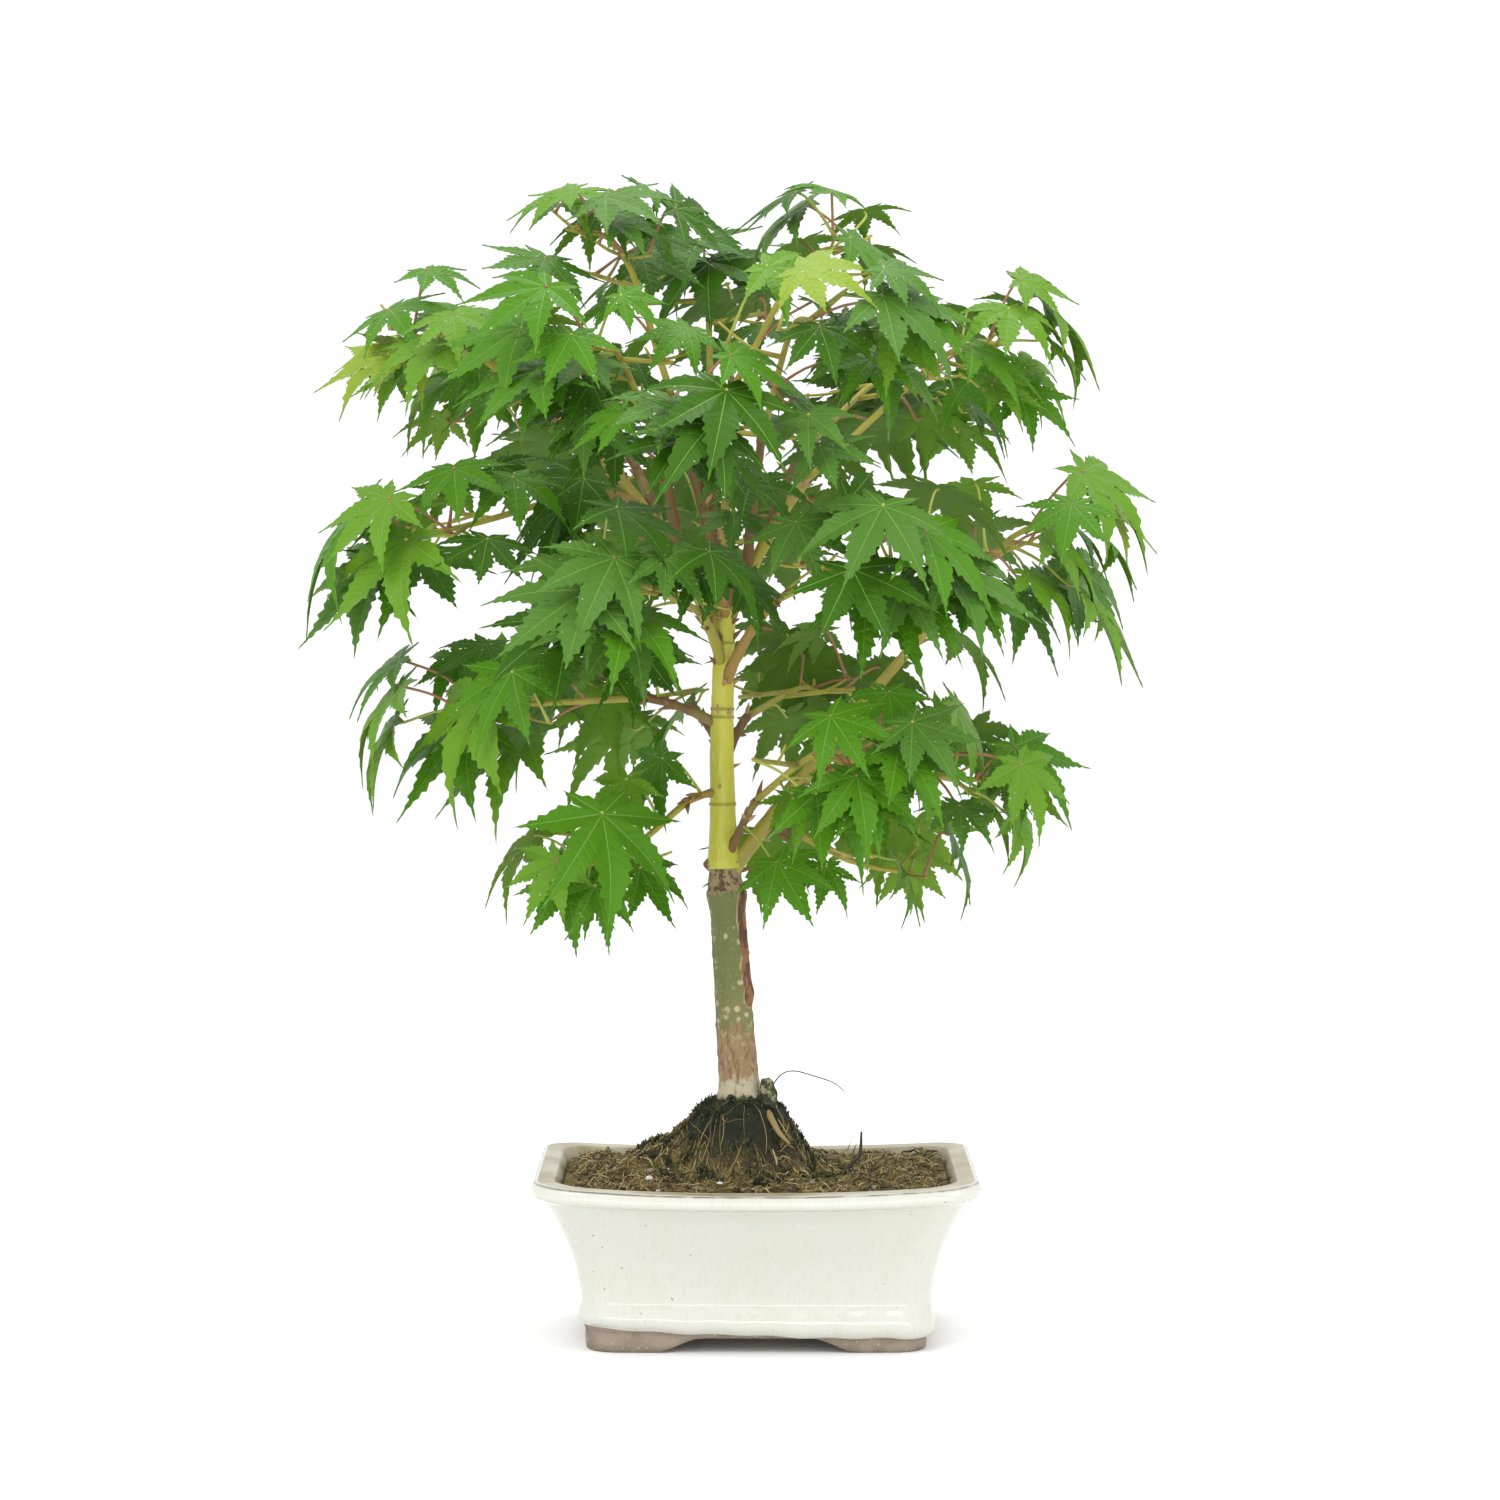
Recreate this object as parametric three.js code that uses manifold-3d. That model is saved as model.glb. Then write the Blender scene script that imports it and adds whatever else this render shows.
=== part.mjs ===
// A small palm-leaved maple grown as a bonsai in a cream glazed pot.
// Millimetres, +Z up, the pot's long front side faces -Y.
// The solids are the pot, the soil with its mossy mound, the old trunk, the young leader,
// and for each bough one tapering limb with the foliage mass that it carries.

import * as THREE from 'three';
import { mergeVertices } from 'three/addons/utils/BufferGeometryUtils.js';
import Module from 'manifold-3d';

const wasm = await Module();
wasm.setup();

// ---------------------------------------------------------------- driving dimensions

// Solids that touch in life stay this far apart.
const GAP = 0.3;

// Pot: a profile's first value is the half length; the half width is smaller by POT_SLIMMER.
const POT_HALF_LENGTH = 80;
const POT_HEIGHT = 60;
const POT_SLIMMER = 22;
const POT_FLOOR_FROM = 40;
const POT_CORNER = 0.18;
// The long sides bow out, most at the rim, and the rim dips between its raised corners.
const POT_BOW = { low: 0.03, high: 0.1, from: 62 };
const RIM_CURVE = { dip: 2.4, rise: 0.6, from: 44 };
const POT_UNDERSIDE = 3.2;
const POT_FOOT = -2;
const POT_FLOOR_TOP = 12;
const RIM_FLAT = 8.8;
const SIDE_STEPS = { long: 2, corner: 4, short: 1 };
const HOLE_RADIUS = 6;
const HOLE_OFFSET = 30;
const FOOT_OUTER = 61.2;
const FOOT_INNER = 46;
const ARCH_LONG = { foot: 37, top: 19 };
const ARCH_SHORT = { foot: 20, top: 9 };

// Soil: level near the wall, heaped to a mound round the trunk's foot.
const SOIL_LEVEL = 57;
const MOUND_CENTRE = { x: -5, y: 0 };
const MOUND_HEIGHT = 27;
const MOUND_TOP_RADIUS = 10;
const MOUND_FOOT_RADIUS = 38;

// Trunk and leader.
const TRUNK_FOOT = [-6, 0, 84.7];
const TRUNK_BEND = [-8.5, 1, 125];
const TRUNK_HEAD = [-11.6, 0, 171];
const TRUNK_RADIUS = { foot: 7.1, head: 6.0, flare: 3.2, knuckle: 1.2 };
const SCAR = { from: 0.38, to: 0.84, turn: 65, height: 1.1 };
const LEADER_HEAD = [-10.5, 0, 269];
const LEADER_BEND = [-13.5, 0, 222];
const LEADER_RADIUS = { foot: 4.8, head: 3.5 };
const LEADER_ROWS = 8;
const LEADER_SIDES = 10;
const LEADER_RUN = LEADER_HEAD[2] - TRUNK_HEAD[2];
const STUB = { at: 0.93, side: [-1, -0.15, 0.9], length: 9.5, radius: 2.3 };

// Boughs. Each leaves its parent at a share of the parent's bare length and makes for the heart
// of the foliage that it carries. Its bend lies a share, lean, of the level run away and is raised
// by rise. Its base has the given radius. A fan above 1 spreads the leaves of its mass wider.
function planned(name, parent, at, heart, rise, radius, lean, fan = 1) {
  return { name, parent, at, heart, rise, radius, lean, fan };
}

const BOUGHS = [
  planned('right_mid', 'trunk', 0.93, [92, -7, 288], -8, 3.0, 0.62),
  planned('left_high', 'leader', 0.8, [-111, 0, 360], 12, 2.9, 0.5, 1.1),
  planned('right_high', 'leader', 0.86, [69, -3, 354], 10, 2.5, 0.45),
  planned('top_left', 'leader', 0.96, [-48, -12, 390], 8, 2.1, 0.7, 2.1),
  planned('top_right', 'top_left', 0.42, [17, -12, 386], 6, 1.7, 0.4, 2.1),
  planned('top_back', 'top_left', 0.24, [-18, 52, 378], 8, 1.7, 0.4, 2.1),
  planned('front_left_high', 'left_high', 0.3, [-48, -60, 352], 10, 1.9, 0.4),
  planned('front_right_high', 'right_high', 0.3, [12, -62, 360], 12, 1.9, 0.4),
  planned('back_right_high', 'right_high', 0.56, [45, 69, 346], 10, 1.9, 0.4),
  planned('back_left_high', 'left_high', 0.42, [-74, 65, 342], 10, 1.9, 0.4),
  planned('left_mid', 'left_high', 0.56, [-105, -14, 292], 14, 1.8, 0.5),
  planned('front_centre', 'leader', 0.86, [-10, -79, 326], 16, 1.9, 0.4),
  planned('front_left_mid', 'leader', 0.7, [-37, -71, 271], 14, 2.0, 0.4),
  planned('front_right_mid', 'leader', 0.62, [36, -71, 280], 14, 2.0, 0.4),
  planned('back_mid', 'leader', 0.66, [-14, 84, 290], 16, 2.0, 0.4),
  planned('left_low', 'leader', 0.48, [-86, -14, 228], 14, 1.8, 0.5),
  planned('right_low', 'right_mid', 0.34, [61, -10, 203], 12, 1.7, 0.5),
  planned('front_low', 'trunk', 0.97, [20, -48, 212], 10, 1.5, 0.5),
  planned('back_left_low', 'leader', 0.4, [-46, 65, 228], 12, 1.8, 0.4),
  planned('back_right_low', 'leader', 0.32, [15, 70, 230], 12, 1.8, 0.4),
  planned('hanging_left', 'leader', 0.24, [-46, -22, 176], 14, 1.4, 0.5),
  planned('hanging_right', 'right_mid', 0.16, [36, 4, 170], 12, 1.4, 0.5),
];
const BOUGH_SIDES = 5;
const BOUGH_ROWS = 3;
const BOUGH_TIP_RADIUS = 1.25;
// The least share of a bough that stays bare wood.
const BARE_SHARE = 0.42;

// The head of leaves is a rounded dome about an upright axis.
const AXIS_X = -12;
const CROWN = {
  low: 126,
  high: 422,
  middle: 276,
  halfHeight: 146,
  halfWidth: 163,
  halfDepth: 144,
  power: 2.3,
};
// In front of the leader an upright slot stays free of leaves, so that the stem shows.
const SLOT = { middle: -11, half: 6.5, low: 168, high: 250 };

// Foliage rule: a stem and side twigs in each space, and leaves on stalks at their nodes.
const CELL_MARGIN = 1.3;
const STEM_RADIUS = 1.35;
const TWIG_RADIUS = 1.05;
const PETIOLE_RADIUS = 0.65;
const PETIOLE_ROOT = 0.42;
const STEM_REACH = 22;
const SIDE_REACH = 27;
const LEAVES_PER_NODE = 3;
const MOST_LEAVES = { front: 8, back: 6 };
const TRIES = 70;
const LEAF_LENGTH = { least: 36, most: 52 };
const PETIOLE_LENGTH = { least: 12, most: 32 };
const DROOP = { low: 64, high: 14, spread: 16 };
const CLIMB = { least: -30, most: 60 };
const TURN_LEAST = -8;
const TURN_MOST = 95;
const ROLL_SPREAD = 22;
const FACE_ROLL = 30;
const CURL = { least: 0.1, most: 0.26 };
const LEAF_CORE = 1.5;
const STALK_SINK = 1.6;
const KNEE = { back: 2.4, below: 3.4, easiest: 0.1 };
const SAMPLE_STEP = 2;
const LIMB_CLEARANCE = 1.3;
const LEAF_CLEARANCE = 1.7;

// Leaf outline in lengths of its middle lobe: each lobe's turn and length from the middle out.
const LOBE_TURN = [0, 42, 84, 128];
const LOBE_LENGTH = [1, 0.93, 0.74, 0.36];
const LOBE_SHOULDER = { along: 0.6, half: 0.13 };
const SINUS_SHARE = 0.38;
const BASE_NOTCH = 0.07;

const COLOURS = {
  glaze: 0xe6e4d6,
  soil: 0x5c4a2e,
  bark: 0x6f7350,
  young_bark: 0xb3a94a,
  leaves: 0x3f8a22,
};

// ---------------------------------------------------------------- small tools

const UP = new THREE.Vector3(0, 0, 1);
const radians = THREE.MathUtils.degToRad;
const lerp = THREE.MathUtils.lerp;

function vector(values) {
  return new THREE.Vector3(values[0], values[1], values[2]);
}

// A seeded stream of numbers from 0 to 1.
function seeded(seed) {
  let state = seed >>> 0;
  return () => {
    state = (state + 0x6d2b79f5) >>> 0;
    let word = state;
    word = Math.imul(word ^ (word >>> 15), word | 1);
    word ^= word + Math.imul(word ^ (word >>> 7), word | 61);
    return ((word ^ (word >>> 14)) >>> 0) / 4294967296;
  };
}

function smooth(from, to, value) {
  const share = Math.min(1, Math.max(0, (value - from) / (to - from)));
  return share * share * (3 - 2 * share);
}

function weld(geometry) {
  geometry.deleteAttribute('normal');
  geometry.deleteAttribute('uv');
  const welded = mergeVertices(geometry, 1e-4);
  const corners = welded.index.array;
  const kept = [];
  for (let i = 0; i < corners.length; i += 3) {
    const [a, b, c] = [corners[i], corners[i + 1], corners[i + 2]];
    if (a !== b && b !== c && c !== a) {
      kept.push(a, b, c);
    }
  }
  welded.setIndex(kept);
  return welded;
}

function flip(corners) {
  for (let i = 0; i < corners.length; i += 3) {
    [corners[i], corners[i + 1]] = [corners[i + 1], corners[i]];
  }
  return corners;
}

// A closed solid from a closed geometry, turned to face out.
function solidOf(geometry) {
  const welded = weld(geometry);
  const vertProperties = new Float32Array(welded.attributes.position.array);
  const triVerts = new Uint32Array(welded.index.array);
  const solid = new wasm.Manifold(new wasm.Mesh({ numProp: 3, vertProperties, triVerts }));
  if (solid.volume() > 0) {
    return solid;
  }
  return new wasm.Manifold(new wasm.Mesh({ numProp: 3, vertProperties, triVerts: flip(triVerts) }));
}

// The one body of a fused solid; loose scraps are dropped.
function mainBody(solid) {
  const bodies = solid.decompose();
  bodies.sort((one, other) => other.volume() - one.volume());
  return bodies[0];
}

function geometryOf(solid) {
  const mesh = solid.getMesh();
  const geometry = new THREE.BufferGeometry();
  const positions = new Float32Array(mesh.numVert * 3);
  for (let i = 0; i < mesh.numVert; i += 1) {
    for (let axis = 0; axis < 3; axis += 1) {
      positions[i * 3 + axis] = mesh.vertProperties[i * mesh.numProp + axis];
    }
  }
  geometry.setAttribute('position', new THREE.BufferAttribute(positions, 3));
  geometry.setIndex(Array.from(mesh.triVerts));
  geometry.computeVertexNormals();
  return geometry;
}

function finish(name, solid, colour, roughness) {
  const material = new THREE.MeshStandardMaterial({ color: colour, roughness });
  const mesh = new THREE.Mesh(geometryOf(mainBody(solid)), material);
  mesh.name = name;
  return mesh;
}

// ---------------------------------------------------------------- pot and soil

// One quarter of the pot's plan from the middle of the front to the middle of the right side,
// as shares of the half length and half width.
function quarterPlan(step) {
  const { long, corner, short } = SIDE_STEPS;
  const inner = 1 - POT_CORNER;
  if (step <= long) {
    return { across: (inner * step) / long, along: 1, turn: 0 };
  }
  if (step < long + corner) {
    return { across: inner, along: 1, turn: (90 * (step - long)) / corner };
  }
  return { across: 1, along: (inner * (long + corner + short - step)) / short, turn: 90 };
}

// The point of the pot's plan at one step round it, for a given half length.
function planPoint(index, radius) {
  const quarter = SIDE_STEPS.long + SIDE_STEPS.corner + SIDE_STEPS.short;
  const turn = ((index % (4 * quarter)) + 4 * quarter) % (4 * quarter);
  const side = Math.floor(turn / quarter);
  const mirrored = side % 2 === 1;
  const step = mirrored ? quarter - (turn % quarter) : turn % quarter;
  const narrowest = POT_FLOOR_FROM - POT_SLIMMER;
  const shrunk = (radius * narrowest) / POT_FLOOR_FROM;
  const width = radius > POT_FLOOR_FROM ? radius - POT_SLIMMER : shrunk;
  const cornerRadius = POT_CORNER * radius;
  const spot = quarterPlan(step);
  let x = radius;
  let y = width;
  if (spot.turn === 0) {
    x = spot.across * radius;
  } else if (spot.turn === 90) {
    y = Math.max(0, spot.along * width);
  } else {
    const swing = radians(spot.turn);
    x = radius - cornerRadius + cornerRadius * Math.sin(swing);
    y = width - Math.min(cornerRadius, width * 0.9) * (1 - Math.cos(swing));
  }
  const share = lerp(POT_BOW.low, POT_BOW.high, smooth(POT_BOW.from, POT_HALF_LENGTH, radius));
  const bow = 1 + share * (1 - (x / (radius || 1)) ** 2);
  const signX = side < 2 ? 1 : -1;
  const signY = side === 0 || side === 3 ? -1 : 1;
  return [x * signX, y * bow * signY];
}

// A solid turned from a profile of [half length, height] and carried out to the pot's plan.
function potTurned(profile, lift) {
  const points = profile.map(([radius, height]) => new THREE.Vector2(radius, height));
  const segments = 4 * (SIDE_STEPS.long + SIDE_STEPS.corner + SIDE_STEPS.short);
  const geometry = new THREE.LatheGeometry(points, segments);
  const position = geometry.attributes.position;
  for (let i = 0; i <= segments; i += 1) {
    for (let j = 0; j < profile.length; j += 1) {
      const [radius, height] = profile[j];
      const [x, y] = planPoint(i, radius);
      const raised = lift ? lift(x, y, radius, height) : height;
      position.setXYZ(i * profile.length + j, x, y, raised);
    }
  }
  return solidOf(geometry);
}

// The rim's curve carried down the upper wall.
function rimLift(x, y, radius, height) {
  const { dip, rise, from } = RIM_CURVE;
  const curve = lerp(-dip, rise, (Math.abs(x) / POT_HALF_LENGTH) ** 2.5);
  return height + smooth(from, POT_HEIGHT, height) * curve;
}

function potBody() {
  const rim = POT_HALF_LENGTH;
  const top = POT_HEIGHT;
  const mouth = rim - RIM_FLAT;
  const profile = [
    [0, POT_UNDERSIDE],
    [58, POT_UNDERSIDE],
    [61.8, 5.6],
    [64, 9.6],
    [62.8, 16],
    [65.4, 31],
    [71, 45],
    [75.8, 52.4],
    [rim - 1, 54.6],
    [rim, 56.6],
    [rim - 0.6, 59],
    [rim - 2, top],
    [mouth + 1, top - 0.2],
    [mouth, top - 1.4],
    [61, 30],
    [52, POT_FLOOR_TOP],
    [0, POT_FLOOR_TOP],
  ];
  return potTurned(profile, rimLift);
}

// The bar that is cut from under a side of the pot and leaves an arch between two feet.
function wedge(arch, reach, alongX) {
  const shape = new THREE.Shape();
  shape.moveTo(-arch.foot - 2, POT_FOOT - 1);
  shape.lineTo(arch.foot + 2, POT_FOOT - 1);
  shape.lineTo(arch.top, POT_UNDERSIDE);
  shape.lineTo(-arch.top, POT_UNDERSIDE);
  shape.closePath();
  const geometry = new THREE.ExtrudeGeometry(shape, { depth: 2 * reach, bevelEnabled: false, steps: 1 });
  geometry.translate(0, 0, -reach);
  geometry.rotateX(Math.PI / 2);
  if (alongX) {
    geometry.rotateZ(Math.PI / 2);
  }
  return solidOf(geometry);
}

// Four corner feet: a low ring under the walls with an arch cut through each side.
function potFeet() {
  const ring = potTurned([
    [0, POT_UNDERSIDE + 1],
    [FOOT_INNER, POT_UNDERSIDE + 1],
    [FOOT_INNER, POT_FOOT],
    [FOOT_OUTER - 1.5, POT_FOOT],
    [FOOT_OUTER, POT_FOOT + 1.5],
    [FOOT_OUTER, POT_UNDERSIDE + 2],
    [0, POT_UNDERSIDE + 2],
  ]);
  const outerReach = POT_HALF_LENGTH + 10;
  return ring.subtract(wedge(ARCH_LONG, outerReach, false)).subtract(wedge(ARCH_SHORT, outerReach, true));
}

function drainageHole(side) {
  const geometry = new THREE.CylinderGeometry(HOLE_RADIUS, HOLE_RADIUS, 3 * POT_FLOOR_TOP, 20);
  geometry.rotateX(Math.PI / 2);
  geometry.translate(side * HOLE_OFFSET, 0, 0);
  return solidOf(geometry);
}

function pot() {
  let solid = potBody().add(potFeet());
  for (const side of [-1, 1]) {
    solid = solid.subtract(drainageHole(side));
  }
  return finish('pot', solid, COLOURS.glaze, 0.2);
}

// Height of the soil's top: rough, level at the wall, heaped round the trunk's foot.
function soilTop(x, y) {
  const away = Math.hypot(x - MOUND_CENTRE.x, (y - MOUND_CENTRE.y) * 1.15);
  const heap = 1 - smooth(MOUND_TOP_RADIUS, MOUND_FOOT_RADIUS, away);
  const hump = 7 * Math.exp(-(((x + 38) / 14) ** 2) - ((y + 6) / 16) ** 2);
  const rough = 0.8 * Math.sin(x * 0.31 + y * 0.17) + 0.7 * Math.sin(y * 0.37 - x * 0.13);
  return SOIL_LEVEL + MOUND_HEIGHT * heap ** 1.25 + hump + rough * (1 - heap);
}

function soil() {
  const profile = [
    [0, POT_FLOOR_TOP + GAP],
    [51, POT_FLOOR_TOP + GAP],
    [60, 30],
    [68.4, 55],
    [61, SOIL_LEVEL],
    [50, SOIL_LEVEL],
    [40, SOIL_LEVEL],
    [30, SOIL_LEVEL],
    [21, SOIL_LEVEL],
    [12, SOIL_LEVEL],
    [0, SOIL_LEVEL],
  ];
  const lift = (x, y, radius, height) => (height === SOIL_LEVEL ? soilTop(x, y) : height);
  return finish('soil', potTurned(profile, lift), COLOURS.soil, 0.95);
}

// ---------------------------------------------------------------- limbs

// A limb follows one curve from start by bend to end; its radius runs from base to tip.
function pointOn(limb, t) {
  const a = (1 - t) * (1 - t);
  const b = 2 * (1 - t) * t;
  const c = t * t;
  return new THREE.Vector3()
    .addScaledVector(limb.start, a)
    .addScaledVector(limb.bend, b)
    .addScaledVector(limb.end, c);
}

function slopeOn(limb, t) {
  const first = limb.bend.clone().sub(limb.start).multiplyScalar(1 - t);
  const second = limb.end.clone().sub(limb.bend).multiplyScalar(t);
  return first.add(second).normalize();
}

function limbRadius(limb, t) {
  return lerp(limb.base, limb.tip, t) + limb.base * 0.3 * Math.exp(-t / 0.07);
}

// A closed tube through points; radiusAt takes the row and the turn round the tube.
function tube(points, radiusAt, sides) {
  const rows = points.length - 1;
  const geometry = new THREE.CylinderGeometry(1, 1, 1, sides, rows);
  const position = geometry.attributes.position;
  const whole = points[rows].clone().sub(points[0]).normalize();
  const level = Math.abs(whole.z) > 0.999 ? new THREE.Vector3(0, 1, 0) : whole.clone().cross(UP).normalize();
  const vertex = new THREE.Vector3();
  for (let i = 0; i < position.count; i += 1) {
    vertex.fromBufferAttribute(position, i);
    const row = Math.round((0.5 - vertex.y) * rows);
    const along = points[Math.min(rows, row + 1)].clone().sub(points[Math.max(0, row - 1)]).normalize();
    const side = level.clone().addScaledVector(along, -level.dot(along)).normalize();
    const face = along.clone().cross(side);
    const turn = Math.atan2(vertex.z, vertex.x);
    const radius = radiusAt(row, turn);
    const spot = points[row].clone();
    spot.addScaledVector(side, vertex.x * radius).addScaledVector(face, vertex.z * radius);
    position.setXYZ(i, spot.x, spot.y, spot.z);
  }
  return solidOf(geometry);
}

function limbPoints(limb, from, to, rows) {
  const points = [];
  for (let row = 0; row <= rows; row += 1) {
    points.push(pointOn(limb, lerp(from, to, row / rows)));
  }
  return points;
}

function limbSolid(limb, from, to, extra, rows, sides) {
  const radiusAt = (row) => limbRadius(limb, lerp(from, to, row / rows)) + extra;
  return tube(limbPoints(limb, from, to, rows), radiusAt, sides);
}

// The old trunk: flared to the soil, a healed scar up its right side, a knuckle at its head.
function trunkRadius(t, turn) {
  const { foot, head, flare, knuckle } = TRUNK_RADIUS;
  const roots = flare * Math.exp(-t / 0.07) * (1 + 0.3 * Math.cos(3 * turn + 0.6));
  const scarShare = smooth(SCAR.from - 0.08, SCAR.from, t) * (1 - smooth(SCAR.to, SCAR.to + 0.08, t));
  const scarNear = Math.exp(-(((turn - radians(SCAR.turn)) / 0.35) ** 2));
  const swell = knuckle * Math.exp(-(((t - 0.88) / 0.06) ** 2));
  return lerp(foot, head, t) + roots + swell + SCAR.height * scarShare * scarNear;
}

function trunkSolid(limb, extra) {
  const rows = 12;
  const radiusAt = (row, turn) => trunkRadius(row / rows, turn) + extra;
  return tube(limbPoints(limb, 0, 1, rows), radiusAt, 14);
}

function trunk(limb, leaderLimb) {
  const root = pointOn(limb, STUB.at);
  const out = vector(STUB.side).normalize();
  const stubPoints = [root, root.clone().addScaledVector(out, STUB.length)];
  const stub = tube(stubPoints, (row) => STUB.radius * (1 - 0.2 * row), 7);
  const flat = new THREE.BoxGeometry(60, 60, 40);
  flat.translate(TRUNK_FOOT[0], TRUNK_FOOT[1], TRUNK_FOOT[2] - 20);
  const seat = limbSolid(leaderLimb, -GAP / LEADER_RUN, 0.3, GAP, 4, LEADER_SIDES);
  return trunkSolid(limb, 0).add(stub).subtract(solidOf(flat)).subtract(seat);
}

function stems() {
  const trunkLimb = {
    name: 'trunk',
    start: vector(TRUNK_FOOT),
    bend: vector(TRUNK_BEND),
    end: vector(TRUNK_HEAD),
    base: TRUNK_RADIUS.foot,
    tip: TRUNK_RADIUS.head + TRUNK_RADIUS.knuckle,
    last: 1,
  };
  const foot = vector(TRUNK_HEAD).addScaledVector(slopeOn(trunkLimb, 1), GAP);
  const leaderLimb = {
    name: 'leader',
    start: foot,
    bend: vector(LEADER_BEND),
    end: vector(LEADER_HEAD),
    base: LEADER_RADIUS.foot,
    tip: LEADER_RADIUS.head,
    last: 1,
  };
  return [trunkLimb, leaderLimb];
}

// ---------------------------------------------------------------- spaces of the masses

const HEARTS = BOUGHS.map((bough) => vector(bough.heart));

// How deep a point lies inside the space of one mass: the space is all that is nearer to its
// heart than to any other heart, within the whole head of leaves and beside the slot.
function depthInSpace(index, point) {
  const level = Math.hypot((point.x - AXIS_X) / CROWN.halfWidth, point.y / CROWN.halfDepth);
  const rise = Math.abs(point.z - CROWN.middle) / CROWN.halfHeight;
  const share = (level ** CROWN.power + rise ** CROWN.power) ** (1 / CROWN.power);
  let depth = Math.min((1 - share) * CROWN.halfDepth, point.z - CROWN.low);
  const own = HEARTS[index];
  if (point.y < 0 && point.z > SLOT.low && point.z < SLOT.high) {
    const side = own.x < SLOT.middle ? SLOT.middle - point.x : point.x - SLOT.middle;
    depth = Math.min(depth, side - SLOT.half);
  }
  const ownSquared = own.distanceToSquared(point);
  for (let i = 0; i < HEARTS.length; i += 1) {
    if (i !== index) {
      const apart = own.distanceTo(HEARTS[i]);
      depth = Math.min(depth, (HEARTS[i].distanceToSquared(point) - ownSquared) / (2 * apart));
    }
  }
  return depth;
}

// The share of a bough's curve that is bare wood: it ends just inside its own space.
function bareShare(limb, index) {
  let t = 1;
  while (t > BARE_SHARE && depthInSpace(index, pointOn(limb, t - 0.02)) > CELL_MARGIN + 2) {
    t -= 0.02;
  }
  return t;
}

function boughLimbs(stemLimbs) {
  const limbs = [...stemLimbs];
  BOUGHS.forEach((row, index) => {
    const parent = limbs.find((limb) => limb.name === row.parent);
    const start = pointOn(parent, row.at * parent.last);
    const end = HEARTS[index].clone();
    const run = end.clone().sub(start);
    const bend = new THREE.Vector3(
      start.x + run.x * row.lean * 0.8,
      start.y + run.y * row.lean * 0.8,
      start.z + run.z * 0.62 + row.rise,
    );
    const limb = { name: row.name, parent, start, bend, end, base: row.radius, tip: BOUGH_TIP_RADIUS };
    limb.last = bareShare(limb, index);
    limbs.push(limb);
  });
  return limbs;
}

// The room that a limb keeps free: the limb itself grown by the gap at its side and its ends.
function keptFree(limb) {
  if (limb.name === 'trunk') {
    return trunkSolid(limb, GAP);
  }
  const more = GAP / limb.start.distanceTo(limb.end);
  const rows = limb.name === 'leader' ? LEADER_ROWS : BOUGH_ROWS;
  const sides = limb.name === 'leader' ? LEADER_SIDES : BOUGH_SIDES;
  return limbSolid(limb, -more, limb.last + more, GAP, rows, sides);
}

function bough(limb, stemLimbs) {
  let solid = limbSolid(limb, 0, limb.last, 0, BOUGH_ROWS, BOUGH_SIDES);
  for (const stem of stemLimbs) {
    solid = solid.subtract(keptFree(stem));
  }
  return stemLimbs.includes(limb.parent) ? solid : solid.subtract(keptFree(limb.parent));
}

// ---------------------------------------------------------------- leaves

// The outline in lengths of the middle lobe: x along the middle lobe, y across it.
function leafOutline() {
  const spot = (degrees, reach) => [reach * Math.cos(radians(degrees)), reach * Math.sin(radians(degrees))];
  const outline = [spot(180, BASE_NOTCH)];
  const count = LOBE_TURN.length;
  for (let k = 1 - count; k < count; k += 1) {
    const lobe = Math.abs(k);
    const turn = Math.sign(k) * LOBE_TURN[lobe];
    const length = LOBE_LENGTH[lobe];
    const shoulder = (Math.atan2(LOBE_SHOULDER.half, LOBE_SHOULDER.along) * 180) / Math.PI;
    const reach = Math.hypot(LOBE_SHOULDER.along, LOBE_SHOULDER.half) * length;
    const full = lobe < count - 1;
    if (full) {
      outline.push(spot(turn - shoulder, reach));
    }
    outline.push(spot(turn, length));
    if (full) {
      outline.push(spot(turn + shoulder, reach));
    }
    if (k < count - 1) {
      const next = Math.abs(k + 1);
      const nextTurn = Math.sign(k + 1) * LOBE_TURN[next];
      const inner = SINUS_SHARE * Math.min(length, LOBE_LENGTH[next]);
      outline.push(spot((turn + nextTurn) / 2, Math.max(inner, 0.2)));
    }
  }
  return outline;
}

const OUTLINE = leafOutline();

// A place on the blade: the blade bends away from its face with the square of the reach.
function onBlade(leaf, x, y, offset) {
  const fall = -leaf.curl * (x * x + y * y) * leaf.length + offset;
  return leaf.joint
    .clone()
    .addScaledVector(leaf.along, x * leaf.length)
    .addScaledVector(leaf.across, y * leaf.length)
    .addScaledVector(leaf.face, fall);
}

function bladeTriangles(leaf) {
  const rim = OUTLINE.map(([x, y]) => onBlade(leaf, x, y, 0));
  return rim.map((point, i) => new THREE.Triangle(leaf.joint, point, rim[(i + 1) % rim.length]));
}

function spaced(from, to, step, points) {
  const count = Math.max(1, Math.ceil(from.distanceTo(to) / step));
  for (let i = 0; i <= count; i += 1) {
    points.push(from.clone().lerp(to, i / count));
  }
  return points;
}

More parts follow.
